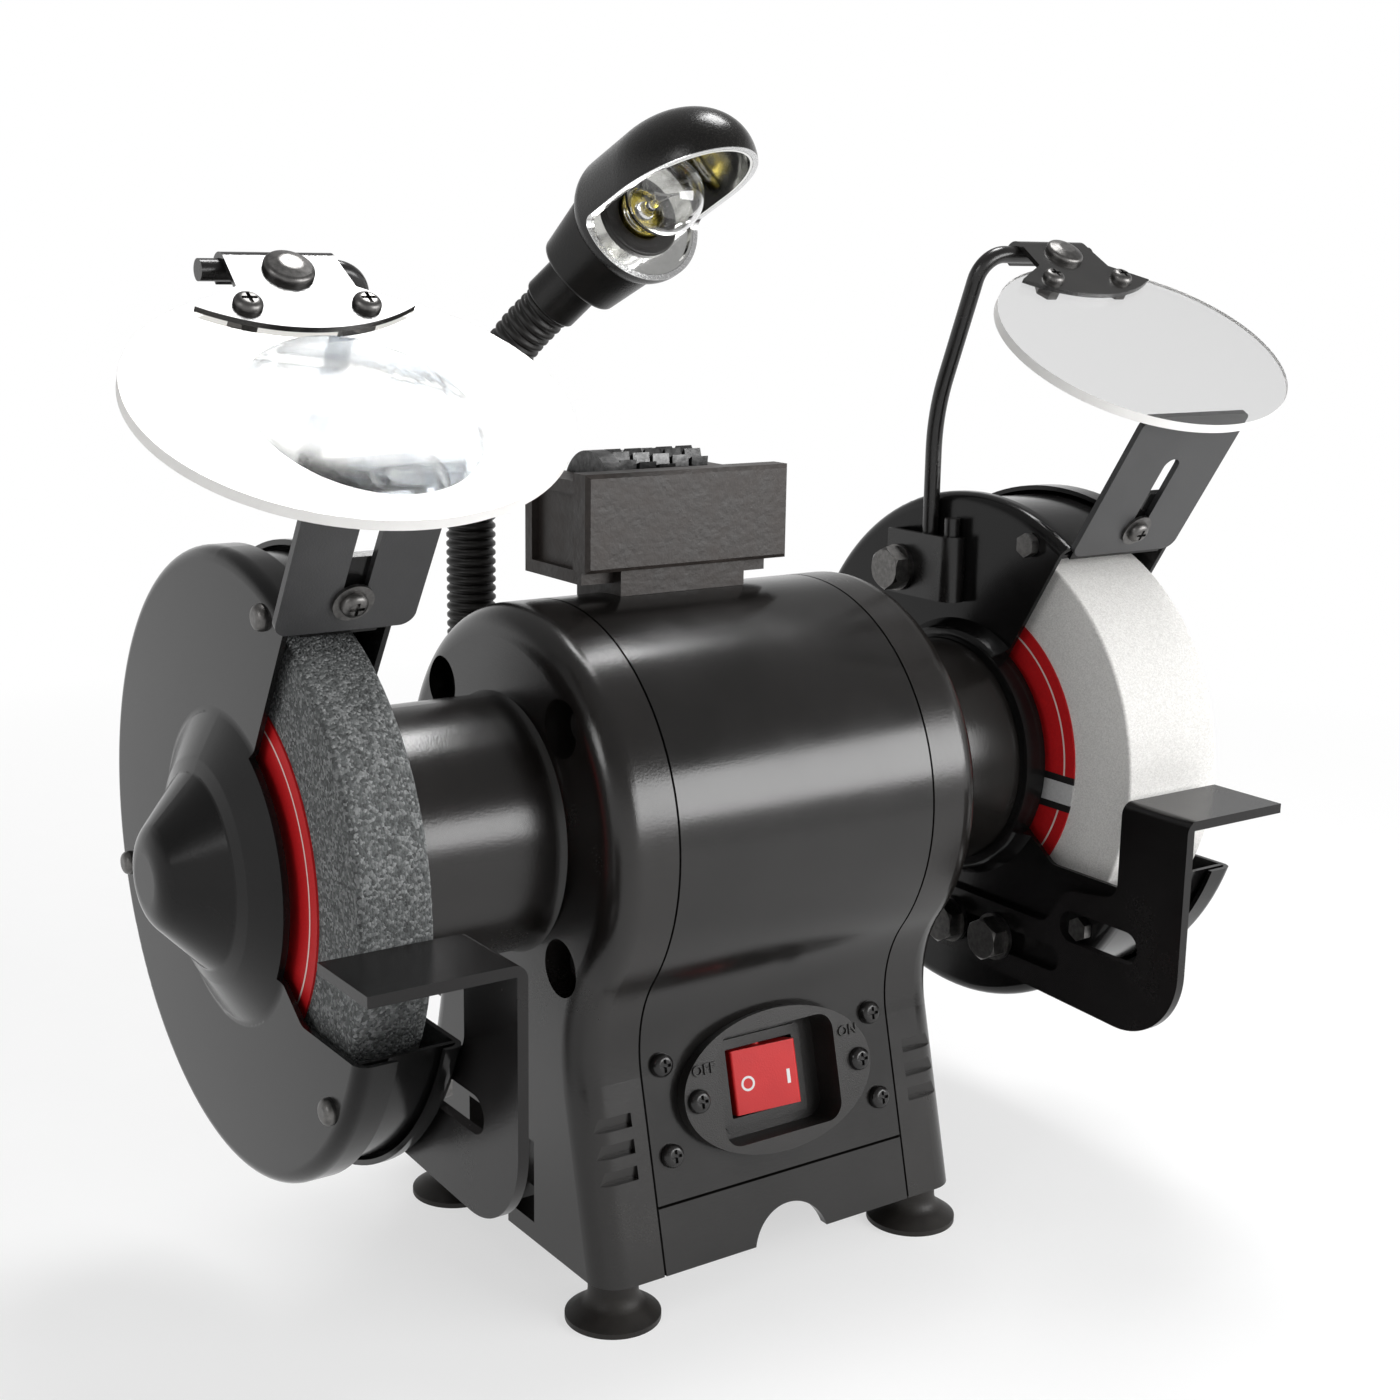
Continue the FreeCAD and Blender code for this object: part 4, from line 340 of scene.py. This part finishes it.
def label_paper():
    """Red wheel label with a thin pale ring; the right one has a bare pale strip between bars."""
    material, tree, shader = new_material("label_paper", Roughness=0.55, Specular_IOR_Level=0.35)
    place = add_node(tree, "SeparateXYZ", {"Vector": place_of(tree)}).outputs
    rise = sums(tree, "SUBTRACT", place["Z"], spindle_height)
    ring = within(tree, hypotenuse(tree, rise, place["Y"]), label_ring)
    right = sums(tree, "GREATER_THAN", place["X"], 0.0)
    bars = sums(tree, "MULTIPLY", within(tree, rise, label_bars), right)
    strip = sums(tree, "MULTIPLY", within(tree, rise, label_strip), right)
    fibre = noise(tree, 1400.0, detail=4.0, roughness=0.7)
    fleck = ranged(tree, fibre, 0.0, 1.0)
    shade = mixed(tree, fleck, rgb(0.50, 0.006, 0.010), rgb(0.62, 0.012, 0.014))
    shade = mixed(tree, ring, shade, rgb(0.80, 0.66, 0.62))
    shade = mixed(tree, bars, shade, rgb(0.012, 0.011, 0.011))
    shade = mixed(tree, strip, shade, mixed(tree, fleck, grey(0.50), grey(0.62)))
    tree.links.new(shade, shader.inputs["Base Color"])
    bumped(tree, shader, fibre, 0.12, 0.2 * MM)
    return material


def hood_paint():
    """Black hood whose cut edge is left bright; the cut is a plane, a rounded corner and a plane."""
    material, tree, shader = new_material("hood_paint", Specular_IOR_Level=0.32)
    upright = sums(tree, "ADD", along_axis(tree, hood_floor, hood_back), hood_cut + hood_notch)
    inward = sums(tree, "SUBTRACT", reflector_lip + hood_notch, along_axis(tree, hood_floor, hood_axis))
    depth = hypotenuse(tree, sums(tree, "MAXIMUM", upright), sums(tree, "MAXIMUM", inward))
    edge = within(tree, depth, (hood_notch - hood_edge_reach, hood_notch + hood_edge_reach))
    grain = noise(tree, 1500.0, detail=2.0)
    fleck = ranged(tree, grain, 0.0, 1.0)
    shade = mixed(tree, fleck, rgb(0.006, 0.0058, 0.0055), rgb(0.012, 0.011, 0.010))
    tree.links.new(mixed(tree, edge, shade, grey(0.80)), shader.inputs["Base Color"])
    tree.links.new(edge, shader.inputs["Metallic"])
    tree.links.new(ranged(tree, grain, 0.20, 0.30), shader.inputs["Roughness"])
    bumped(tree, shader, grain, 0.16, 0.4 * MM)
    return material


def shield_sheet(shield, tint):
    """Clear sheet whose sawn edge is frosted and pale."""
    material, tree, shader = new_material(shield, IOR=1.49, Specular_IOR_Level=0.5)
    rim = sums(tree, "LESS_THAN", flatness(tree, shield), 0.6)
    smear = noise(tree, 14.0, detail=4.0, roughness=0.6)
    tree.links.new(mixed(tree, rim, tint, rgb(0.90, 0.89, 0.87)), shader.inputs["Base Color"])
    clearness = sums(tree, "SUBTRACT", 1.0, sums(tree, "MULTIPLY", rim, 0.85))
    tree.links.new(clearness, shader.inputs["Transmission Weight"])
    frost = sums(tree, "ADD", ranged(tree, smear, 0.0, 0.03), sums(tree, "MULTIPLY", rim, 0.6))
    tree.links.new(frost, shader.inputs["Roughness"])
    return material


def lens_glass():
    """Moulded lens: clear in the middle, with a painted shade, greyer and bluer, where it curves down to
    its edge.
    """
    material, tree, shader = new_material("lens_sheet", Transmission_Weight=1.0, IOR=1.16)
    smear = noise(tree, 60.0, detail=4.0, roughness=0.6)
    streak = mixed(tree, ranged(tree, smear, 0.0, 1.0), rgb(0.80, 0.84, 0.88), grey(0.97))
    edge = ranged(tree, flatness(tree, "left_eye_shield"), 1.0, 0.0, start=0.90, end=0.985)
    # Painted shade: the curved rim gets a dark grey-blue tint standing in for the darkening refraction
    # gives it
    tree.links.new(mixed(tree, edge, streak, rgb(0.42, 0.45, 0.49)), shader.inputs["Base Color"])
    tree.links.new(ranged(tree, smear, 0.02, 0.16), shader.inputs["Roughness"])
    return material


def bulb_clear():
    """Thin glass with faint smears in its gloss."""
    material, tree, shader = new_material("clear_glass", Transmission_Weight=1.0, IOR=1.5)
    smear = noise(tree, 60.0, detail=4.0, roughness=0.6)
    tree.links.new(ranged(tree, smear, 0.0, 0.02), shader.inputs["Roughness"])
    tree.links.new(mixed(tree, smear, grey(0.96), grey(0.985)), shader.inputs["Base Color"])
    return material


# The materials
gloss_black = painted(
    "gloss_black", dark=grey(0.0045), light=rgb(0.0085, 0.008, 0.008), rough=(0.10, 0.18),
    grain=900.0, relief=0.04, Specular_IOR_Level=0.22,
)
satin_black = painted(
    "satin_black", dark=rgb(0.006, 0.0055, 0.005), light=rgb(0.011, 0.010, 0.0095), rough=(0.12, 0.20),
    grain=1500.0, relief=0.05, Specular_IOR_Level=0.5,
)
bell_black = painted(
    "bell_black", dark=rgb(0.007, 0.006, 0.0055), light=rgb(0.013, 0.0115, 0.0105), rough=(0.16, 0.25),
    grain=1300.0, relief=0.08, Specular_IOR_Level=0.5,
)
rest_black = painted(
    "rest_black", dark=rgb(0.006, 0.0055, 0.0055), light=rgb(0.010, 0.009, 0.009), rough=(0.16, 0.26),
    grain=1100.0, relief=0.06, Specular_IOR_Level=0.32,
)
bracket_black = painted(
    "bracket_black", dark=rgb(0.010, 0.0095, 0.009), light=rgb(0.017, 0.016, 0.015), rough=(0.10, 0.16),
    grain=1100.0, relief=0.10, Specular_IOR_Level=0.6,
)
grain_plastic = painted(
    "grain_plastic", dark=rgb(0.010, 0.009, 0.0085), light=rgb(0.017, 0.0155, 0.0145),
    rough=(0.32, 0.44), grain=2600.0, relief=0.30, patch=60.0, Specular_IOR_Level=0.35,
)
lamp_black = painted(
    "lamp_black", dark=rgb(0.006, 0.0058, 0.0055), light=rgb(0.012, 0.011, 0.010), rough=(0.24, 0.34),
    grain=1500.0, relief=0.16, patch=50.0, Specular_IOR_Level=0.32,
)
arm_black = painted(
    "arm_black", dark=rgb(0.008, 0.0075, 0.007), light=rgb(0.016, 0.0145, 0.0135), rough=(0.34, 0.46),
    grain=1800.0, relief=0.10, patch=50.0, Specular_IOR_Level=0.35,
)
arrestor_grey = painted(
    "arrestor_grey", dark=rgb(0.026, 0.026, 0.027), light=rgb(0.042, 0.042, 0.043), rough=(0.28, 0.40),
    grain=2000.0, relief=0.12, patch=40.0, Specular_IOR_Level=0.45,
)
rubber = painted(
    "rubber", dark=rgb(0.010, 0.0085, 0.0075), light=rgb(0.020, 0.0175, 0.015), rough=(0.42, 0.58),
    grain=1700.0, relief=0.18, patch=90.0, Specular_IOR_Level=0.35,
)
red_plastic = painted(
    "red_plastic", dark=rgb(0.50, 0.010, 0.012), light=rgb(0.56, 0.014, 0.015), rough=(0.30, 0.38),
    grain=2400.0, relief=0.12, patch=80.0, Specular_IOR_Level=0.35,
)
white_ink = painted(
    "white_ink", dark=grey(0.70), light=grey(0.80), rough=(0.45, 0.55),
    grain=2400.0, relief=0.1, patch=300.0,
)
cast_iron = painted(
    "cast_iron", dark=rgb(0.022, 0.018, 0.016), light=rgb(0.046, 0.038, 0.034), rough=(0.38, 0.54),
    grain=420.0, relief=0.55, patch=120.0, Specular_IOR_Level=0.4,
)
black_steel = painted(
    "black_steel", dark=rgb(0.007, 0.0065, 0.0065), light=rgb(0.013, 0.012, 0.0115), rough=(0.16, 0.28),
    grain=1000.0, relief=0.06, patch=60.0, Specular_IOR_Level=0.45,
)
capacitor_grey = painted(
    "capacitor_grey", dark=grey(0.30), light=grey(0.36), rough=(0.4, 0.5),
    grain=1500.0, relief=0.1, patch=40.0,
)
cutter_steel = metal(
    "cutter_steel", dark=grey(0.05), light=grey(0.14), rough=(0.30, 0.48), grain=500.0, relief=0.3,
)
dark_zinc = metal(
    "dark_zinc", dark=rgb(0.09, 0.088, 0.086), light=rgb(0.17, 0.165, 0.16), rough=(0.30, 0.44),
    grain=600.0, relief=0.12,
)
zinc = metal(
    "zinc", dark=rgb(0.36, 0.35, 0.34), light=rgb(0.56, 0.55, 0.53), rough=(0.22, 0.38),
    grain=500.0, relief=0.12,
)
steel = metal(
    "steel", dark=grey(0.34), light=grey(0.48), rough=(0.22, 0.34), grain=300.0,
    stretch=(1.0, 12.0, 12.0),
)
copper = metal(
    "copper", dark=rgb(0.42, 0.16, 0.07), light=rgb(0.62, 0.26, 0.12), rough=(0.28, 0.42),
    grain=700.0, stretch=(8.0, 1.0, 1.0), relief=0.5,
)
brass = metal(
    "brass", dark=rgb(0.42, 0.34, 0.06), light=rgb(0.62, 0.50, 0.10), rough=(0.20, 0.32),
    grain=420.0, relief=0.2,
)
laminations = metal(
    "laminations", dark=grey(0.10), light=grey(0.20), rough=(0.35, 0.5),
    grain=2000.0, stretch=(1.0, 0.02, 0.02), relief=0.6,
)
bright_metal = metal(
    "bright_metal", dark=rgb(0.74, 0.74, 0.72), light=rgb(0.90, 0.90, 0.88), rough=(0.06, 0.16),
    grain=130.0, relief=0.10,
)
grey_abrasive = abrasive(
    "grey_abrasive", dark=grey(0.030), middle=rgb(0.135, 0.142, 0.142), light=rgb(0.42, 0.43, 0.43),
    grain=1300.0, relief=0.75,
)
white_abrasive = abrasive(
    "white_abrasive", dark=rgb(0.60, 0.59, 0.57), middle=rgb(0.74, 0.73, 0.71),
    light=rgb(0.86, 0.85, 0.83), grain=2300.0, relief=0.30,
)
label = label_paper()
left_sheet = shield_sheet("left_eye_shield", tint=rgb(0.86, 0.845, 0.81))
right_sheet = shield_sheet("right_eye_shield", tint=grey(0.84))
lens_sheet = lens_glass()
hood_finish = hood_paint()
clear_glass = bulb_clear()

finishes = {
    satin_black: ["motor_cover", "base_apron"],
    bell_black: ["left_end_bell", "right_end_bell", "cord_gland"],
    gloss_black: ["left_guard", "right_guard", "left_guard_cover", "right_guard_cover"],
    rest_black: ["left_tool_rest", "right_tool_rest", "lamp_mount"],
    bracket_black: ["left_shield_bracket", "right_shield_bracket"],
    grain_plastic: ["switch_bezel", "switch_case", "lamp_holder"],
    lamp_black: ["lamp_neck", "lamp_socket"],
    hood_finish: ["lamp_hood"],
    arrestor_grey: ["left_spark_arrestor", "right_spark_arrestor"],
    rubber: ["rubber_feet"],
    red_plastic: ["switch_rocker"],
    cast_iron: ["dresser_body", "dresser_holder"],
    cutter_steel: ["dresser_cutters", "dresser_pin"],
    black_steel: [
        "panel_screws", "tie_bolts", "left_rod_clamp", "right_rod_clamp", "left_shield_rod",
        "right_shield_rod",
    ],
    dark_zinc: [
        "rest_bolts", "clamp_bolts", "left_shield_fasteners", "right_shield_fasteners",
        "arrestor_screws", "guard_screws",
    ],
    zinc: ["wheel_flanges", "spindle_nuts"],
    steel: ["spindle", "bearing_outer_rings", "bearing_inner_rings"],
    copper: ["stator_windings"],
    brass: ["bulb_base"],
    laminations: ["stator_core", "rotor_core"],
    bright_metal: ["lamp_reflector"],
    capacitor_grey: ["capacitor"],
    grey_abrasive: ["left_wheel"],
    white_abrasive: ["right_wheel"],
    label: ["wheel_blotters"],
    left_sheet: ["left_eye_shield"],
    right_sheet: ["right_eye_shield"],
    lens_sheet: ["magnifier_lens"],
    clear_glass: ["lamp_bulb"],
    arm_black: ["lamp_arm"],
}
for finish, names in finishes.items():
    for name in names:
        nodes[name].data.materials.clear()
        nodes[name].data.materials.append(finish)


# Mesh helpers
def new_object(name, data):
    made = bpy.data.objects.new(name, data)
    scene.collection.objects.link(made)
    return made


def new_mesh(name, mesh_maker, finish, rounded):
    """Mesh from a function that fills a bmesh; rounded shades it smooth."""
    mesh = bpy.data.meshes.new(name)
    work = bmesh.new()
    mesh_maker(work)
    bmesh.ops.recalc_face_normals(work, faces=work.faces)
    work.to_mesh(mesh)
    work.free()
    mesh.materials.append(finish)
    for face in mesh.polygons:
        face.use_smooth = rounded
    return mesh


def new_piece(name, mesh_maker, body, finish, rounded=True):
    """Piece that rides on a body, or on none when no body is given."""
    piece = new_object(name, new_mesh(name, mesh_maker, finish, rounded))
    if body:
        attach(piece, body)
    return piece


def ring_points(centre, across, upward, radius, count):
    """Points on a circle; a radius of 0 gives one point."""
    if radius == 0:
        return [centre]
    steps = [2 * math.pi * k / count for k in range(count)]
    return [centre + across * (radius * math.cos(a)) + upward * (radius * math.sin(a)) for a in steps]


def skin_rings(work, rings, closed=False):
    """Faces between rings of points, of which some may be one point; closed joins last to first."""
    loops = [[work.verts.new(point) for point in ring] for ring in rings]
    pairs = list(zip(loops, loops[1:]))
    if closed:
        pairs.append((loops[-1], loops[0]))
    for one, two in pairs:
        count = max(len(one), len(two))
        for k in range(count):
            j = (k + 1) % count
            corners = [one[k % len(one)], one[j % len(one)], two[j % len(two)], two[k % len(two)]]
            unique = [vert for i, vert in enumerate(corners) if vert not in corners[:i]]
            if len(unique) > 2:
                work.faces.new(unique)
    return loops


def skin_capped(work, rings):
    loops = skin_rings(work, rings)
    work.faces.new(loops[0])
    work.faces.new(loops[-1])


# The flexible arm, with rounded ribs and a bore
def arm_mesh(work):
    root = arm_radius - arm_groove
    plain = arm_radius
    pitch = (arm_length - 2 * plain) / arm_ribs
    profile = [(0.0, root)]
    for k in range(arm_ribs):
        for share, lift in rib_outline:
            profile.append((plain + (k + share) * pitch, root + lift * arm_groove))
    profile += [(arm_length - plain, root), (arm_length, root), (arm_length, arm_bore)]
    profile += [(arm_length * (1 - k / bore_steps), arm_bore) for k in range(1, bore_steps + 1)]
    rings = []
    for distance, radius in profile:
        centre, along = arm_at(distance)
        rings.append(ring_points(centre, bend_side, along.cross(bend_side), radius, arm_sides))
    skin_rings(work, rings, closed=True)


arm_tube = new_piece("arm_tube", arm_mesh, None, arm_black)
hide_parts("lamp_arm")
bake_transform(arm_tube)


# The bulb: thin glass with its stem, leads and filament
def hood_lathe(work, profile, count, closed=False):
    """Turns (radius, distance) points about the hood's axis."""
    rings = [ring_points(in_hood(0, 0, z), hood_side, hood_back, radius, count) for radius, z in profile]
    skin_rings(work, rings, closed)


def bulb_profile(inset):
    """Outline of the bulb from its base to its tip, at a distance inside its outer surface."""
    ball = bulb_radius - inset
    neck = bulb_neck_radius - inset
    low = math.acos(neck / ball)
    points = [(neck, bulb_base_top)]
    for k in range(bulb_steps):
        angle = -low + (math.pi / 2 + low) * k / bulb_steps
        points.append((ball * math.cos(angle), bulb_centre + ball * math.sin(angle)))
    points.append((0.0, bulb_centre + ball))
    return points


def bulb_mesh(work):
    outline = bulb_profile(0.0) + bulb_profile(glass_wall)[::-1]
    hood_lathe(work, outline, bulb_sides, closed=True)


def stem_mesh(work):
    outline = [(radius * MM, bulb_base_top + rise * MM) for radius, rise in stem_outline]
    hood_lathe(work, outline, stem_sides)


def tube_along(work, points, radius, count=8):
    """Closed round wire through points."""
    rings = []
    for k, point in enumerate(points):
        ahead = points[min(k + 1, len(points) - 1)] - points[max(k - 1, 0)]
        ahead.normalize()
        nearly_sideways = abs(ahead.dot(hood_side)) >= 0.9
        across = ahead.cross(hood_back if nearly_sideways else hood_side).normalized()
        rings.append(ring_points(point, across, ahead.cross(across), radius, count))
    skin_capped(work, rings)


def filament_mesh(work):
    for sign in (-1, 1):
        shoulder = filament_reach * lead_shoulder_share
        lead = [
            in_hood(sign * lead_start, 0, lead_foot),
            in_hood(sign * lead_knee, 0, lead_foot + lead_knee_rise),
            in_hood(sign * shoulder, lead_bow, filament_top - lead_shoulder_drop),
            in_hood(sign * filament_reach, 0, filament_top),
        ]
        tube_along(work, lead, lead_radius)
    coil = []
    for k in range(coil_turns * coil_steps + 1):
        share = k / (coil_turns * coil_steps)
        angle = 2 * math.pi * k / coil_steps
        level = filament_top - filament_sag * math.sin(math.pi * share)
        aside = filament_reach * (2 * share - 1)
        coil.append(
            in_hood(aside, coil_radius * math.cos(angle), level + coil_radius * math.sin(angle))
        )
    tube_along(work, coil, coil_wire_radius, coil_wire_sides)


bulb_glass = new_piece("bulb_glass", bulb_mesh, "lamp_head", clear_glass)
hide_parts("lamp_bulb")
new_piece("bulb_stem", stem_mesh, "lamp_head", clear_glass)
new_piece("bulb_filament", filament_mesh, "lamp_head", steel)


# Marks on the rocker and raised words on the switch plate
def off_mark(work):
    outer, inner = off_mark_radii
    rings = []
    for radius, lift in ((outer, mark_sunk), (outer, mark_proud), (inner, mark_proud), (inner, mark_sunk)):
        centre = on_key(*off_mark_place, lift)
        rings.append(ring_points(centre, key_across, switch_upward, radius, off_mark_sides))
    skin_rings(work, rings, closed=True)


def on_mark(work):
    a, b = on_mark_place
    half_width, half_height = on_mark_half
    corners = ((-1, -1), (1, -1), (1, 1), (-1, 1))
    rings = []
    for lift in (mark_sunk, mark_proud):
        rings.append([on_key(a + i * half_width, b + j * half_height, lift) for i, j in corners])
    skin_capped(work, rings)


def raised_word(name, text, place):
    letters = bpy.data.curves.new(name, "FONT")
    letters.body = text
    letters.size = word_size
    letters.align_x = "CENTER"
    letters.align_y = "CENTER"
    letters.extrude = letter_depth
    letters.bevel_depth = letter_bevel
    letters.space_character = letter_spacing
    letters.materials.append(grain_plastic)
    piece = new_object(name, letters)
    turn = Matrix((ACROSS, switch_upward, switch_outward)).transposed()
    middle = on_switch(*place, bezel_front + letter_lift)
    piece.matrix_world = Matrix.Translation(middle) @ turn.to_4x4()
    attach(piece, "grinder")


new_piece("mark_off", off_mark, "switch_key", white_ink, rounded=False)
new_piece("mark_on", on_mark, "switch_key", white_ink, rounded=False)
raised_word("word_off", "OFF", off_word_place)
raised_word("word_on", "ON", on_word_place)


# The camera
def place_camera():
    back = (camera_position - camera_target).normalized()
    right = UP.cross(back).normalized()
    upright = back.cross(right)
    turned_right = right * math.cos(camera_roll) + upright * math.sin(camera_roll)
    turned_up = upright * math.cos(camera_roll) - right * math.sin(camera_roll)
    data = bpy.data.cameras.new("camera")
    data.lens = camera_lens
    data.sensor_width = camera_sensor
    data.shift_x, data.shift_y = camera_shift
    data.clip_start = camera_near
    camera = new_object("camera", data)
    turn = Matrix((turned_right, turned_up, back)).transposed()
    camera.matrix_world = Matrix.Translation(camera_position) @ turn.to_4x4()
    scene.camera = camera


place_camera()


# Studio: pale surroundings, pale floor and soft boxes
def studio_world():
    """White backdrop for the camera; gloss and glass see it fade to a dimmer ceiling overhead."""
    world = bpy.data.worlds.new("studio")
    world.use_nodes = True
    tree = world.node_tree
    background = tree.nodes["Background"]
    background.inputs["Color"].default_value = grey(1.0)
    rays = add_node(tree, "LightPath").outputs
    bounced = sums(tree, "MAXIMUM", rays["Is Glossy Ray"], rays["Is Transmission Ray"])
    direction = add_node(tree, "TexCoord").outputs["Generated"]
    height = add_node(tree, "SeparateXYZ", {"Vector": direction}).outputs["Z"]
    backdrop = ranged(tree, height, 1.0, ceiling_level, *ceiling_fade)
    level = sums(tree, "MAXIMUM", rays["Is Camera Ray"], sums(tree, "MULTIPLY", bounced, backdrop))
    tree.links.new(sums(tree, "MAXIMUM", level, world_fill), background.inputs["Strength"])
    scene.world = world


def floor_mesh(work):
    skin_rings(work, [ring_points(Vector(), ACROSS, BACK, radius, floor_sides) for radius in floor_radii])


def floor_material():
    """Matt floor that keeps the shadow, with a white glow for rays that show the background."""
    material = bpy.data.materials.new("floor")
    material.use_nodes = True
    tree = material.node_tree
    tree.nodes.remove(tree.nodes["Principled BSDF"])
    shade = mixed(tree, noise(tree, 40.0, detail=4.0), grey(0.88), grey(0.92))
    matt = add_node(tree, "BsdfDiffuse", {"Color": shade}).outputs[0]
    glow = add_node(tree, "Emission", {"Color": grey(1.0), "Strength": 1.0}).outputs[0]
    rays = add_node(tree, "LightPath").outputs
    seen = sums(tree, "MAXIMUM", rays["Is Camera Ray"], rays["Is Glossy Ray"])
    seen = sums(tree, "MAXIMUM", seen, rays["Is Transmission Ray"])
    spot = add_node(tree, "VectorMath", {0: place_of(tree)}, operation="LENGTH").outputs["Value"]
    far = ranged(tree, spot, floor_near_share, 1.0, *floor_fade)
    share = sums(tree, "MULTIPLY", far, seen)
    blend = add_node(tree, "MixShader", {"Fac": share, 1: matt, 2: glow})
    tree.links.new(blend.outputs[0], tree.nodes["Material Output"].inputs["Surface"])
    return material


def soft_box(name, position, size, radiance):
    """Area light whose power follows from its size and the radiance it shows."""
    data = bpy.data.lights.new(name, "AREA")
    data.shape = "RECTANGLE"
    data.size, data.size_y = size
    data.energy = radiance * math.pi * size[0] * size[1]
    lamp = new_object(name, data)
    lamp.visible_camera = False
    place = Vector(position)
    turn = (place - light_target).to_track_quat("Z", "Y").to_matrix()
    lamp.matrix_world = Matrix.Translation(place) @ turn.to_4x4()


studio_world()
floor = new_object("floor", new_mesh("floor", floor_mesh, floor_material(), rounded=False))
soft_box("overhead", position=(0.41, 0.24, 1.40), size=(0.46, 0.46), radiance=19.0)
soft_box("front_strip", position=(0.45, -0.66, 0.33), size=(0.7, 0.30), radiance=8.0)
soft_box("left_fill", position=(-1.5, -0.4, 0.9), size=(0.5, 0.5), radiance=5.0)

scene.view_settings.view_transform = "Standard"
